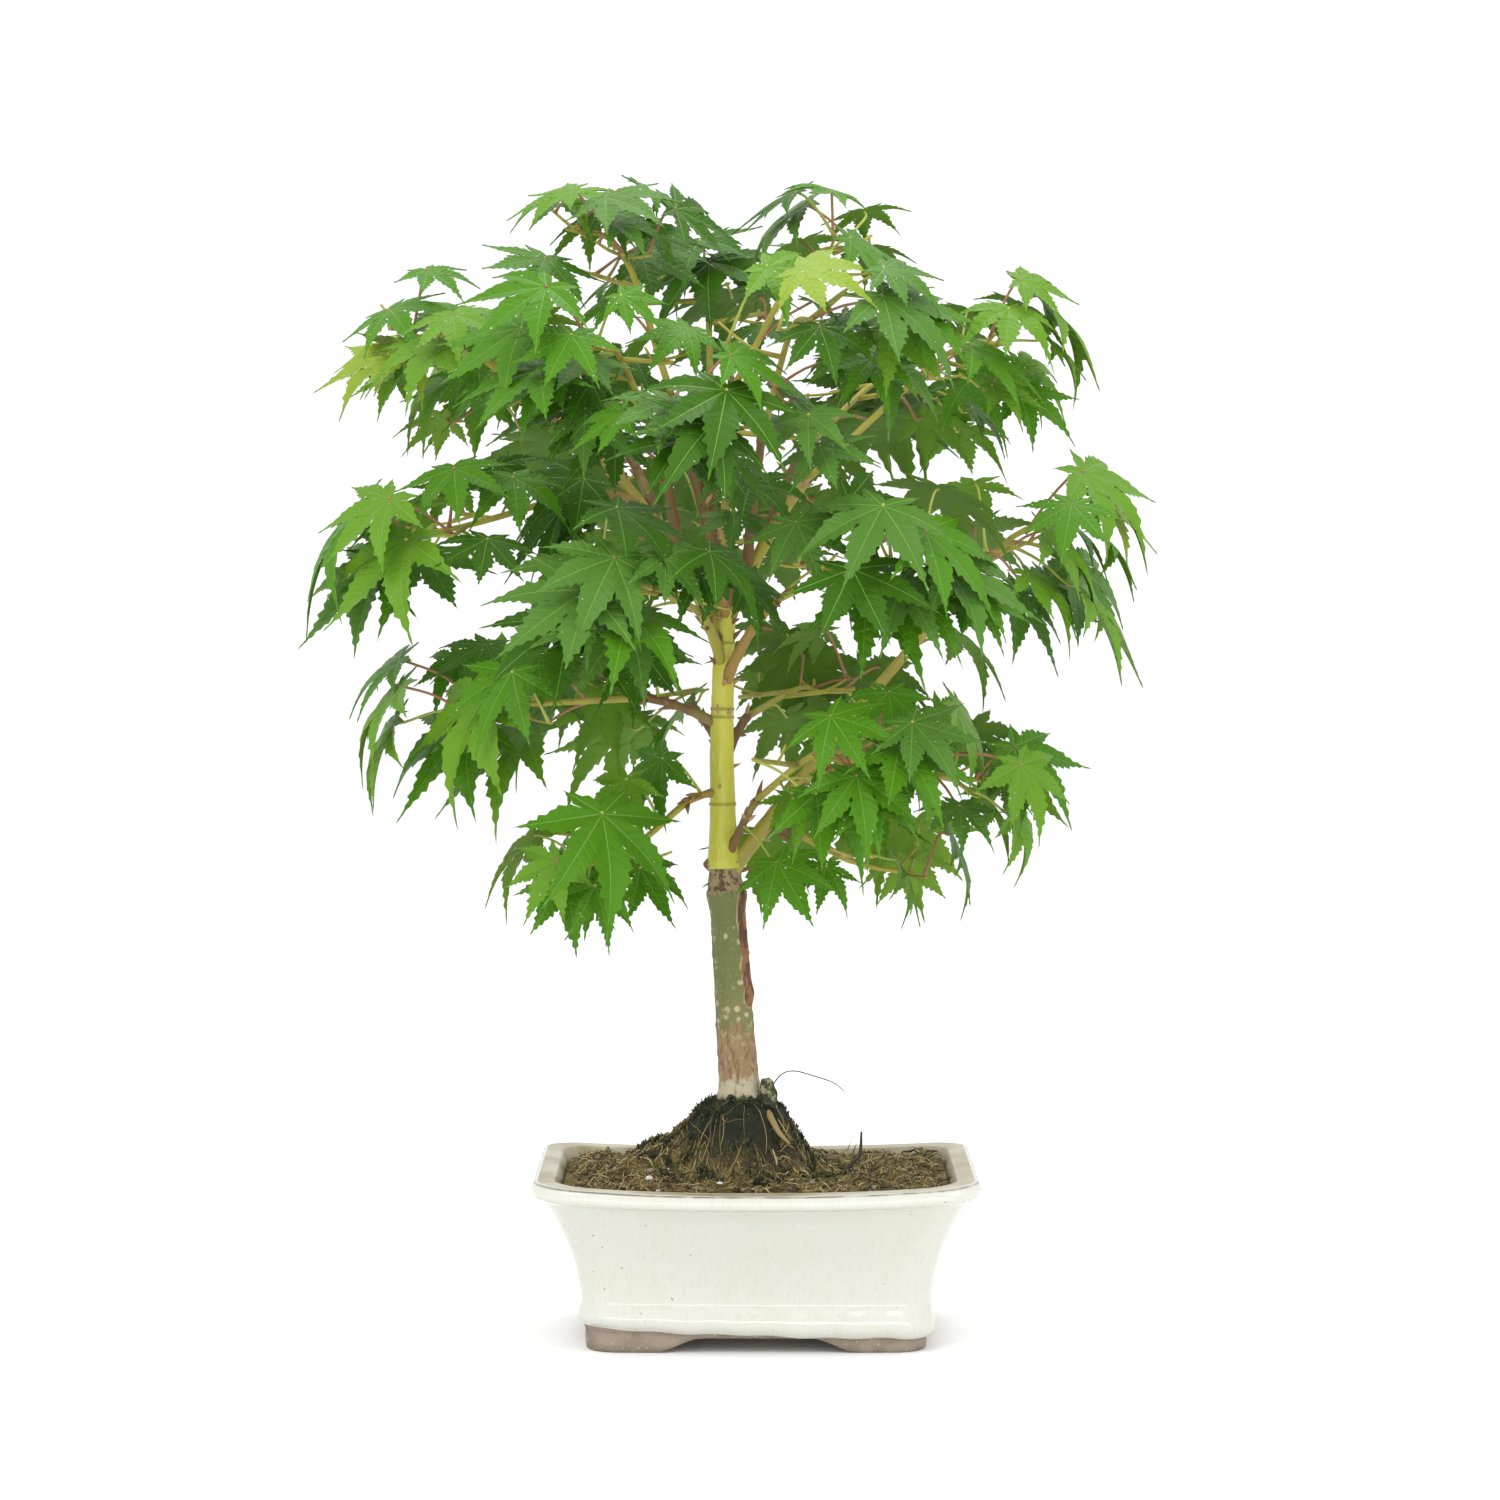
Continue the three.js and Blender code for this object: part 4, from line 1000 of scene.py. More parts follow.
def moss_tufts(materials):
    """Short leaning blades in cushions on the mound."""
    draw = seeded(SEED.moss)
    bundle = Bundle()
    for _ in range(MOSS.cushions):
        turn = 2 * math.pi * draw()
        away = between(MOSS.away, draw() ** 0.7)
        x = MOUND_CENTRE[0] + away * math.cos(turn)
        y = MOUND_CENTRE[1] + away * math.sin(turn) / MOUND_LENGTHWAYS
        tone = int(draw() ** 1.8 * len(materials))
        for _ in range(MOSS.blades):
            foot = on_soil(x + 3 * (draw() - 0.5), y + 3 * (draw() - 0.5), -0.3)
            lean = np.array([draw() - 0.5, draw() - 0.5, 0.0]) * 2.2
            height = between(MOSS.height, draw())
            path = [foot, foot + lean * 0.35 + UP * height * 0.6, foot + lean + UP * height]
            bundle.add(*tube(path, [0.32, 0.26, 0.05], 3), tone)
    bundle.piece("moss", materials, "soil")


def mound_roots(materials):
    """A tan root, a wiry root arc, a dark stick and thin roots round the trunk's foot."""
    bundle = Bundle()
    draw = seeded(SEED.roots)

    def root(knots, radii, slot, sides=8):
        path = curve_through(knots, 6)
        shares = np.linspace(0, 1, len(path))
        thick = np.interp(shares, np.linspace(0, 1, len(radii)), radii)
        wobble = 1 + 0.16 * np.array([[draw() - 0.5 for _ in range(sides)] for _ in path])
        bundle.add(*tube(path, thick[:, None] * wobble, sides), slot)

    root([(3, -6, 82), (5, -11, 79), (8, -16, 74), (12, -19, 70)], [0.9, 1.3, 1.0, 0.5], 0)
    wire = [(5, -6, 88), (9, -7, 93.5), (14, -8, 95), (22, -9, 93), (28, -10, 91), (32, -11, 88)]
    root(wire, [0.28, 0.22, 0.22, 0.2, 0.15], 1, 5)
    root([(31, -14, 58), (35, -15, 63), (37.5, -15, 66), (38, -16, 74)], [1.0, 0.8, 0.7, 0.4], 1)
    for index in range(4):
        turn = 0.9 + index * 1.6
        knots = [np.array(TRUNK_FOOT) + level_way(turn) * 6 + UP * 1.5]
        for step in (9, 15, 22):
            spot = np.array(TRUNK_FOOT) + level_way(turn + 0.3 * (draw() - 0.5)) * step
            knots.append(np.array([spot[0], spot[1], float(soil_top(spot[0], spot[1])) + 0.2]))
        root(knots, [1.3, 0.8, 0.5, 0.25], 1 if index % 3 else 2)
    bundle.piece("mound_roots", materials, "old_bark")


def mossy_stub(material):
    """The rough mossy stub of an old shoot at the right of the trunk's foot."""
    sides = 20
    path = curve_through([(4, -5, 79), (4.6, -5.2, 86), (3.6, -5, 92)], 10)
    t, turns = limb_grid(len(path), sides, 0)
    radii = np.interp(t, (0, 0.75, 0.93, 1), (3.4, 2.5, 2.0, 1.1))
    bundle = Bundle()
    bundle.add(*tube(path, radii + bark_relief(t, turns, 13, 2.6, 1.5), sides))
    bundle.piece("mossy_stub", [material], "old_bark")


# ---------------------------------------------------------------- limbs


class Limb:
    """A limb follows one curve from start by bend to end; its radius runs from base to tip. It is
    bare up to the share last."""

    def __init__(self, name, start, bend, end, base, tip):
        self.name = name
        self.start, self.bend, self.end = np.array([start, bend, end], float)
        self.base = base
        self.tip = tip
        self.last = 1.0

    def point(self, t):
        t = np.asarray(t, float)[..., None]
        return (1 - t) ** 2 * self.start + 2 * (1 - t) * t * self.bend + t * t * self.end

    def slope(self, t):
        return unit((self.bend - self.start) * (1 - t) + (self.end - self.bend) * t)

    def radius(self, t):
        return lerp(self.base, self.tip, t) + self.base * 0.3 * np.exp(-t / 0.07)

    def sample(self):
        """Points every few millimetres along the bare wood, for the clearance of leaves."""
        length = math.dist(self.start, self.end)
        count = math.ceil(length * self.last * 1.1 / SAMPLE_STEP)
        self.samples = self.point(np.linspace(0, self.last, count + 1))
        self.thickest = float(self.radius(0.3))


def stems():
    tip = TRUNK_RADIUS.head + TRUNK_RADIUS.knuckle
    trunk = Limb("trunk", TRUNK_FOOT, TRUNK_BEND, TRUNK_HEAD, TRUNK_RADIUS.foot, tip)
    foot = np.array(TRUNK_HEAD) + trunk.slope(1) * GAP
    leader = Limb("leader", foot, LEADER_BEND, LEADER_HEAD, LEADER_RADIUS.foot, LEADER_RADIUS.head)
    return [trunk, leader]


HEARTS = np.array([row[3] for row in BOUGHS], float)
APART = distances(HEARTS, HEARTS) + np.eye(len(HEARTS))


def depth_in_space(index, points, overrun=0.0):
    """How deep points lie inside the space of one mass: all that is nearer to its heart than to
    another, within the head of leaves and beside the slot; overrun widens it to its neighbours."""
    points = np.atleast_2d(points)
    level = np.hypot((points[:, 0] - AXIS_X) / CROWN.half_width, points[:, 1] / CROWN.half_depth)
    rise = np.abs(points[:, 2] - CROWN.middle) / CROWN.half_height
    share = (level ** CROWN_POWER + rise ** CROWN_POWER) ** (1 / CROWN_POWER)
    depth = np.minimum((1 - share) * CROWN.half_depth, points[:, 2] - CROWN.low)
    squares = ((points[:, None] - HEARTS[None]) ** 2).sum(2)
    walls = (squares - squares[:, [index]]) / (2 * APART[index])
    walls[:, index] = np.inf
    side = -1 if HEARTS[index, 0] < SLOT.middle else 1
    beside = side * (points[:, 0] - SLOT.middle) - SLOT.half
    before = (points[:, 1] < 0) & (points[:, 2] > SLOT.low) & (points[:, 2] < SLOT.high)
    depth = np.where(before, np.minimum(depth, beside), depth)
    return np.minimum(depth, walls.min(1) + overrun)


def bare_share(limb, index):
    t = 1.0
    while t > BARE_SHARE and depth_in_space(index, limb.point(t - 0.02))[0] > CELL_MARGIN + 2:
        t -= 0.02
    return t


def grow_limbs():
    limbs = stems()
    by_name = {limb.name: limb for limb in limbs}
    for index, (name, parent_name, at, heart, rise, radius, lean, _) in enumerate(BOUGHS):
        parent = by_name[parent_name]
        start = parent.point(at * parent.last)
        run = np.array(heart) - start
        bend = start + run * [lean * 0.8, lean * 0.8, 0.62] + UP * rise
        limb = Limb(name, start, bend, heart, radius, BOUGH_TIP_RADIUS)
        limb.last = bare_share(limb, index)
        limbs.append(limb)
        by_name[name] = limb
    for limb in limbs:
        limb.sample()
    return limbs


def trunk_radii(t, turns):
    size = TRUNK_RADIUS
    roots = size.flare * np.exp(-t / 0.07) * (1 + 0.3 * np.cos(3 * turns + 0.6))
    swell = size.knuckle * bell(t, 0.88, 0.06)
    return lerp(size.foot, size.head, t) + roots + swell + SCAR.height * scar_share(t, turns)


def scar_share(t, turns):
    along = smooth(SCAR.low - 0.08, SCAR.low, t) * (1 - smooth(SCAR.high, SCAR.high + 0.08, t))
    away = (turns - math.radians(SCAR.turn) + math.pi) % (2 * math.pi) - math.pi
    return along * bell(away, 0, 0.35)


def bark_relief(t, turns, length, radius, depth):
    """Furrows that run up a limb and small lumps, as heights in millimetres."""
    relief = np.zeros(t.shape)
    for spot in np.ndindex(t.shape):
        around = (math.cos(turns[spot]) * radius, math.sin(turns[spot]) * radius)
        rise = t[spot] * length
        furrow = noise.noise(Vector((around[0] * 0.6, around[1] * 0.6, rise * 0.07)))
        lump = noise.noise(Vector((around[0] * 0.9, around[1] * 0.9, rise * 0.35)))
        relief[spot] = furrow * 0.8 + lump * 0.5
    return relief * depth


def limb_grid(rows, sides, start=-0.03):
    """Shares along a stem, as a rule from just under its foot, and turns round it."""
    return np.meshgrid(np.linspace(start, 1, rows), np.arange(sides) * 2 * math.pi / sides, indexing="ij")


def trunk_bark(trunk, materials):
    """The old trunk with its rings, ledge and scar, and the stub of a cut shoot."""
    rows, sides = 130, 56
    t, turns = limb_grid(rows, sides)
    length = math.dist(TRUNK_FOOT, TRUNK_HEAD)
    radii = trunk_radii(np.maximum(t, 0), turns)
    rings = sum(height * bell(t, at, half) for at, half, height in TRUNK_RINGS)
    above = smooth(TRUNK_LEDGE.at, TRUNK_LEDGE.at + 0.012, t)
    radii = radii + rings - TRUNK_LEDGE.drop * above
    radii = radii + bark_relief(t, turns, length, TRUNK_RADIUS.foot, 0.6) * (1 + 0.8 * above)
    radii[-1] *= 0.8
    scar = scar_share(t, turns)
    radii += SCAR_LUMP.height * scar * bell(t, SCAR_LUMP.at, SCAR_LUMP.half)
    bundle = Bundle()
    bundle.add(*tube(trunk.point(t[:, 0]), radii, sides), 0, np.clip(1.3 * scar - 0.15, 0, 0.9).ravel())
    steps = np.array([0, 0.4, 0.8, 0.92, 1.0])
    path = trunk.point(STUB.at) + unit(np.array(STUB.side)) * (STUB.length * steps)[:, None]
    bundle.add(*tube(path, STUB.radius * np.array([1.3, 1.05, 1.0, 0.95, 0.7]), 14), 0, 0.3)
    bundle.piece("trunk_bark", materials, "old_bark", "trunk")


def leader_bark(leader, materials):
    """The young stem, with a ring at each node."""
    rows, sides = 200, 28
    t, turns = limb_grid(rows, sides)
    rings = sum(bell(t, at, 0.005) for at in LEADER_RINGS)
    length = math.dist(TRUNK_HEAD, LEADER_HEAD)
    radii = leader.radius(np.maximum(t, 0)) + 0.4 * rings
    radii = radii + bark_relief(t, turns, length, LEADER_RADIUS.foot, 0.25)
    brown = 0.7 * np.clip(rings, 0, 1) + 0.6 * smooth(0.84, 0.98, t) * (np.sin(3 * turns) > -0.2)
    bundle = Bundle()
    bundle.add(*tube(leader.point(t[:, 0]), radii, sides), 0, np.clip(brown, 0, 0.9).ravel())
    top = leader.point(0.97)
    stub = [top, top + np.array([-1.5, -1, 7]), top + np.array([-2.2, -1.4, 12])]
    bundle.add(*tube(stub, [3.1, 2.9, 2.6], 14), 0, 0.55)
    bundle.piece("leader_bark", materials, "young_bark", "leader")


def bough_bark(boughs, barks):
    """All boughs in one piece, each with small nodes along it."""
    tones = list(BOUGH_COLOURS)
    bundle = Bundle()
    for limb in boughs:
        rows = len(limb.samples)
        t = np.linspace(0, limb.last, rows)
        nodes = sum(bell(t, at * limb.last, 0.012) for at in BOUGH_RINGS)
        waves = 0.1 * np.sin(np.arange(rows) * 1.7) + 0.35 * nodes
        slot = tones.index(BOUGH_TONES.get(limb.name, "red"))
        bundle.add(*tube(limb.point(t), limb.radius(t) + waves, 10), slot)
    names = [f"bough_{limb.name}" for limb in boughs]
    bundle.piece("bough_bark", [barks[tone] for tone in tones], "bough_bark", *names)


def bud_scales(bundle, limb, share, draw):
    """Dry papery scales that stand off a node of a limb."""
    centre = limb.point(share)
    axis = limb.slope(share)
    radius = limb.radius(share)
    slot = int(draw() * 2)
    side = unit(np.cross(axis, [0.31, 0.9, 0.2]))
    other = np.cross(axis, side)
    for index in range(SCALES_PER_NODE):
        turn = 2 * math.pi * (index + draw()) / SCALES_PER_NODE
        out = side * math.cos(turn) + other * math.sin(turn)
        start = centre + out * radius * 0.8 + axis * (draw() - 0.5) * 2
        length = lerp(2.2, 4.8, draw())
        flare = lerp(0.2, 0.9, draw())
        middle = start + (out * flare + axis) * length * 0.5
        path = [start, middle, start + (out * flare * 1.4 + axis) * length]
        bundle.add(*tube(path, [0.7, 0.9, 0.15], 5), slot)


def all_bud_scales(leader, boughs, materials):
    draw = seeded(SEED.scales)
    bundle = Bundle()
    for share in LEADER_SCALES:
        bud_scales(bundle, leader, share, draw)
    for limb in boughs:
        for at in BOUGH_SCALES:
            bud_scales(bundle, limb, at * limb.last, draw)
    bundle.piece("bud_scales", materials, "bough_bark")


# ---------------------------------------------------------------- leaf pattern


def polar(degrees, reach):
    return (reach * math.cos(math.radians(degrees)), reach * math.sin(math.radians(degrees)))


def sinus_reach(lobe, beside):
    return max(SINUS_SHARE * min(LOBE_LENGTH[lobe], LOBE_LENGTH[beside]), SINUS_LEAST)


def coarse_outline():
    """The outline that the solids' leaves have, for the clearance tests."""
    outline = [polar(180, BASE_NOTCH)]
    count = len(LOBE_TURN)
    shoulder = math.degrees(math.atan2(LOBE_SHOULDER.half, LOBE_SHOULDER.along))
    for k in range(1 - count, count):
        lobe = abs(k)
        turn = math.copysign(LOBE_TURN[lobe], k)
        reach = math.hypot(LOBE_SHOULDER.along, LOBE_SHOULDER.half) * LOBE_LENGTH[lobe]
        full = lobe < count - 1
        if full:
            outline.append(polar(turn - shoulder, reach))
        outline.append(polar(turn, LOBE_LENGTH[lobe]))
        if full:
            outline.append(polar(turn + shoulder, reach))
        if k < count - 1:
            onward = math.copysign(LOBE_TURN[abs(k + 1)], k + 1)
            outline.append(polar((turn + onward) / 2, sinus_reach(lobe, abs(k + 1))))
    return np.array(outline)


OUTLINE = coarse_outline()


class LeafPattern:
    """Points and faces of one blade, flat, in lengths of its middle lobe. A lobe's number k is 0 in
    the middle and rises to the left; hand is the half of a lobe, 1 on its left and -1 on its right."""

    def __init__(self, draw):
        self.index = {}
        self.rows = []
        self.faces = []
        self.slots = []
        count = len(LOBE_TURN)
        self.turns = {}
        self.lengths = {}
        for k in range(1 - count, count):
            self.turns[k] = math.copysign(LOBE_TURN[abs(k)], k) + 5 * (draw() - 0.5)
            self.lengths[k] = LOBE_LENGTH[abs(k)] * lerp(0.95, 1.03, draw())
        self.widths = {k: lerp(0.85, 1.15, draw()) for k in self.turns}
        self.draw = draw
        for k in self.turns:
            for hand in (-1, 1):
                self.half_lobe(k, hand)
        table = np.array(self.rows)
        self.flat = table[:, 0:2]
        self.relief, self.side, self.spread, self.reach, lobe, self.rib = table[:, 2:].T
        self.lobe = lobe.astype(int)
        self.corners = np.array([corner for face in self.faces for corner in face])
        self.sizes = np.array([len(face) for face in self.faces])
        self.slots = np.array(self.slots)

    def point(self, key, flat, relief, side, spread, reach, lobe, rib=0.0):
        """The number of a point, which is made on its first call; rib is 1 along a side vein."""
        if key not in self.index:
            self.index[key] = len(self.rows)
            self.rows.append((flat[0], flat[1], relief, side, spread, reach, lobe, rib))
        return self.index[key]

    def sinus(self, k, hand):
        """Where the margin starts beside a half lobe: its name, place along and across the lobe."""
        beside = k + hand
        if beside in self.turns:
            middle = (self.turns[k] + self.turns[beside]) / 2
            reach = sinus_reach(abs(k), abs(beside)) * SINUS_CUT
            name = min(k, beside)
        else:
            middle = 180 * hand
            reach = BASE_NOTCH
            name = "notch"
        swing = math.radians(abs(middle - self.turns[k]))
        return name, reach * math.cos(swing), reach * math.sin(swing)

    def half_lobe(self, k, hand):
        """One half of a lobe as rows that run from its midrib out to its margin."""
        name, start, width = self.sinus(k, hand)
        length = self.lengths[k]
        turn = math.radians(self.turns[k])
        along = np.array([math.cos(turn), math.sin(turn)])
        across = np.array([-math.sin(turn), math.cos(turn)]) * hand
        margin_rows = 2 * TEETH[abs(k)]
        swell = LOBE_SWELL * self.widths[k] * length
        rows = []
        for row in range(1, INNER_ROWS + margin_rows):
            inner = row <= INNER_ROWS
            share = row / INNER_ROWS if inner else 1.0
            m = 0.0 if inner else (row - INNER_ROWS) / margin_rows
            half = width * (1 - m) ** 1.3 + swell * m * (1 - m) ** 2.6
            edge = start + (length - start) * m
            spine = (edge - ROW_SLANT * half) * share
            toothed = 0.0
            if not inner:
                size = TOOTH * length * lerp(0.15, 2.0, self.draw() ** 1.4) * (1 - 0.6 * m)
                toothed = min(size, 0.4 * half) * (1 if row % 2 else -1)
            rim = along * (edge * share + max(toothed, 0) * 1.3) + across * (half * share + toothed)
            rows.append((row, along * max(spine, 0.01), rim, half * share, toothed, inner))
        self.patch(k, hand, name, rows, along * length)

    def patch(self, k, hand, name, rows, tip):
        """Faces of a half lobe: vein, inner and outer strip on top and one strip on the underside.
        Points between two lobes are shared by them, and points on the margin by top and underside."""
        centre = self.point(("centre", 1), (0, 0), 0, 1, 0, 0, k)
        under = self.point(("centre", -1), (0, 0), 0, -1, 0, 0, k)
        top_before, low_before = [centre] * 4, [under] * 2
        for row, spine, rim, half, toothed, inner in rows:
            reach = float(np.hypot(*spine))
            wide = max(half, 1e-3)
            vein = min(VEIN_HALF * (1.25 - reach) / wide, 0.4)
            pucker = -PUCKER if toothed > 0 else PUCKER
            spots = [spine, lerp(spine, rim, vein), lerp(spine, rim, MIDDLE_STRIP), rim]
            spreads = [0, vein * wide, MIDDLE_STRIP * wide, wide]
            reliefs = [VEIN_RISE, 0, pucker, 0]
            shared = inner and row < INNER_ROWS
            keys = [("spine", k, row, 1), ("vein", k, hand, row), ("mid", k, hand, row)]
            keys.append(("gap", name, row, 1) if inner else ("rim", k, hand, row))
            if row == INNER_ROWS:
                keys[3] = ("gap", name, row, 0)
            sides = [1, 1, 1, 1 if shared else 0]
            top = []
            rib = 1.0 if toothed > 0 else 0.0
            for key, spot, relief, side, spread in zip(keys, spots, reliefs, sides, spreads):
                top.append(self.point(key, spot, relief, side, spread, reach, k, rib))
            low_rim = top[3]
            if shared:
                low_rim = self.point(("gap", name, row, -1), rim, 0, -1, wide, reach, k)
            low = [self.point(("spine", k, row, -1), spine, 0, -1, 0, reach, k), low_rim]
            self.strip(top_before, top, hand, (2, 0, 0))
            self.strip(low_before, low, -hand, (1,))
            top_before, low_before = top, low
        end = self.point(("tip", k), tip, 0, 0, 0, float(np.hypot(*tip)), k)
        self.strip(top_before, [end] * 4, hand, (2, 0, 0))
        self.strip(low_before, [end] * 2, -hand, (1,))

    def strip(self, before, after, hand, slots):
        """Faces between two rows; points that coincide close to a triangle."""
        for column, slot in enumerate(slots):
            ring = [before[column], after[column], after[column + 1], before[column + 1]]
            face = [corner for i, corner in enumerate(ring) if corner != ring[i - 1]]
            self.faces.append(face[::-1] if hand > 0 else face)
            self.slots.append(slot)


# ---------------------------------------------------------------- growth rule


def on_blade(leaf, flat, offset=0.0):
    """Places on the blade, which bends away from its face with the square of the reach."""
    fall = -leaf.curl * (flat ** 2).sum(1) * leaf.length + offset
    across = flat[:, [1]] * leaf.across * leaf.length
    return leaf.joint + flat[:, [0]] * leaf.along * leaf.length + across + fall[:, None] * leaf.face


def spaced(start, end, step):
    count = max(1, math.ceil(math.dist(start, end) / step))
    return start + (end - start) * (np.arange(count + 1) / count)[:, None]


def node_on(start, end, share):
    """A place on a twig; its leaf stalks root one behind another inside the twig."""
    tip = lerp(start, end, share)
    back = unit(start - end)
    return SimpleNamespace(tip=tip, roots=[tip + back * STALK_SINK * steps for steps in (1, 2.4, 3.8)])


def mass_twigs(limb, index):
    """The stem carries the bough's curve on to the heart and beyond; side twigs leave at the heart."""
    foot = limb.point(limb.last)
    heart = limb.end
    outwards = level_way(math.atan2(heart[1], heart[0] - AXIS_X))
    ahead = unit(limb.slope(1) * 0.5 + outwards)
    side = unit(np.cross(ahead, UP))
    twigs = [[foot, heart, heart + ahead * STEM_REACH]]
    for sign in (-1, 1):
        way = unit(ahead * 0.35 + side * sign + UP * 0.12 * sign)
        start = lerp(heart, foot, 0.15 + 0.1 * sign)
        end = start + way * SIDE_REACH
        if depth_in_space(index, end)[0] > CELL_MARGIN:
            twigs.append([start, end])
    return twigs


def try_leaf(draw, node, turn_index, mass, habit, size_share):
    """One try at a leaf on a node: a leaf stalk out of the node, then a blade that droops outwards."""
    outwards = math.atan2(mass.heart[1], mass.heart[0] - AXIS_X)
    height = (node.tip[2] - CROWN.low) / (CROWN.high - CROWN.low)
    side = 1 if turn_index % 2 == 0 else -1
    turn = outwards + side * math.radians(lerp(habit.turn[0], habit.turn[1] * mass.fan, draw()))
    climb = math.radians(between(habit.climb, draw()))
    stalk = between(habit.stalk, draw())
    length = between(habit.length, draw()) * size_share
    droop = math.radians(lerp(DROOP.low, DROOP.high, height) + DROOP.spread * (draw() + draw() - 1))
    level = level_way(turn + math.radians(LEVEL_SPREAD) * (draw() - 0.5))
    joint = node.tip + level_way(turn) * stalk * math.cos(climb) + UP * stalk * math.sin(climb)
    along = level * math.cos(droop) - UP * math.sin(droop)
    face = UP * math.cos(droop) + level * math.sin(droop)
    across = np.cross(face, along)
    front = np.array([0.0, -1.0 if mass.heart[1] < BACK_FROM else 1.0, 0.0])
    turned_away = float(across @ front)
    lean = -math.copysign(FACE_ROLL * abs(turned_away), turned_away)
    roll = math.radians(-lean + ROLL_SPREAD * (draw() + draw() - 1))
    face = face * math.cos(roll) + across * math.sin(roll)
    across = np.cross(face, along)
    curl = between(CURL, draw())
    knee = joint - along * KNEE.back - face * KNEE.below
    root = node.roots[turn_index]
    easy = float(unit(knee - joint) @ unit(root - knee)) > KNEE.easiest
    return SimpleNamespace(
        root=root, knee=knee, joint=joint, along=along, across=across, face=face,
        length=length, curl=curl, easy=easy,
    )


def within(tree, points, reach):
    """Whether any of the points comes nearer to the surface than reach."""
    return any(tree.find_nearest(point, reach)[0] is not None for point in points)


def leaf_fits(leaf, index, spots, reaches, placed, rule):
    """A leaf fits when it stays in its space and clear of limbs, twigs and the leaves placed so far."""
    if not leaf.easy:
        return False
    rim = on_blade(leaf, OUTLINE)
    if depth_in_space(index, np.vstack([leaf.joint, leaf.knee, rim]), rule.overrun).min() <= CELL_MARGIN:
        return False
    count = len(rim)
    fans = [(0, i + 1, (i + 1) % count + 1) for i in range(count)]
    blade = BVHTree.FromPolygons(np.vstack([leaf.joint, rim]).tolist(), fans)
    near = ((spots - leaf.joint) ** 2).sum(1) < (leaf.length + 12) ** 2
    if any(blade.find_nearest(spot, reach)[0] is not None for spot, reach in zip(spots[near], reaches[near])):
        return False
    stalk = spaced(leaf.root, leaf.knee, SAMPLE_STEP)[3:]
    if len(stalk) and (distances(stalk, spots) <= reaches).any():
        return False
    edges = [spaced(leaf.joint, point, EDGE_STEP) for point in rim]
    edges += [spaced(point, rim[(i + 1) % count], EDGE_STEP) for i, point in enumerate(rim)]
    edges = np.vstack(edges)
    clearance = rule.clearance
    for other in placed:
        if math.dist(other.joint, leaf.joint) < other.length + leaf.length + 10:
            if within(other.blade, edges, clearance) or within(blade, other.edges, clearance):
                return False
            if within(other.blade, stalk, clearance) or within(blade, other.stalk, clearance):
                return False
            if len(stalk) and len(other.stalk) and distances(stalk, other.stalk).min() < clearance:
                return False
    leaf.blade = blade
    leaf.edges = edges
    leaf.stalk = stalk
    return True


def obstacles(limbs, twigs, margin):
    """Points that leaves keep clear of, and how far."""
    spots = [limb.samples for limb in limbs]
    reaches = [np.full(len(limb.samples), limb.thickest + margin) for limb in limbs]
    for twig in twigs:
        for start, end in zip(twig, twig[1:]):
            spots.append(spaced(start, end, SAMPLE_STEP))
            reaches.append(np.full(len(spots[-1]), TWIG_RADIUS + margin))
    return np.vstack(spots), np.concatenate(reaches)


def grow_leaves(mass, draw, nodes, wood, placed, most, rule):
    """Up to most leaves on the nodes in turn, each a little smaller with every try that doesn't fit;
    wood is what obstacles() gives."""
    added = 0
    for turn_index in range(LEAVES_PER_NODE):
        for spray, node in enumerate(nodes):
            for attempt in range(rule.tries):
                if added >= most:
                    break
                size_share = 1 - rule.shrink * (attempt / rule.tries)
                leaf = try_leaf(draw, node, turn_index, mass, rule.habit, size_share)
                if leaf_fits(leaf, mass.index, *wood, placed, rule):
                    leaf.spray = rule.sprays_from + spray
                    mass.leaves.append(leaf)
                    placed.append(leaf)
                    added += 1
                    break


def grow_mass(index, limbs):
    """Twigs and leaves of one mass, the same as its solid has."""
    limb = limbs[index + 2]
    heart = HEARTS[index]
    mass = SimpleNamespace(index=index, heart=heart, fan=BOUGHS[index][7], limb=limb, leaves=[])
    draw = seeded(SEED_OF.leaves + 37 * index)
    most = MOST_LEAVES.back if heart[1] > BACK_FROM else MOST_LEAVES.front
    mass.twigs = mass_twigs(limb, index)
    foot, middle, head = mass.twigs[0]
    nodes = [node_on(middle, head, 1)]
    nodes += [node_on(start, end, 1) for start, end in mass.twigs[1:]]
    nodes += [node_on(middle, head, 0.3), node_on(foot, middle, 0.5)]
    grow_leaves(mass, draw, nodes, obstacles(limbs, mass.twigs, LIMB_CLEARANCE), [], most, MAIN_RULE)
    return mass


def finer_twigs(mass, draw):
    """Short twigs that leave the outer part of each twig of a mass."""
    finer = []
    for twig in mass.twigs:
        start, end = twig[-2], twig[-1]
        way = unit(end - start)
        side = unit(np.cross(way, UP))
        for sign in (-1, 1):
            foot = lerp(start, end, between((0.4, 0.8), draw()))
            heading = unit(way * 0.6 + side * sign * 0.8 + UP * (draw() - 0.35))
            tip = foot + heading * between(FINE_TWIG, draw())
            if depth_in_space(mass.index, tip)[0] > CELL_MARGIN:
                finer.append([foot, tip])
    return finer


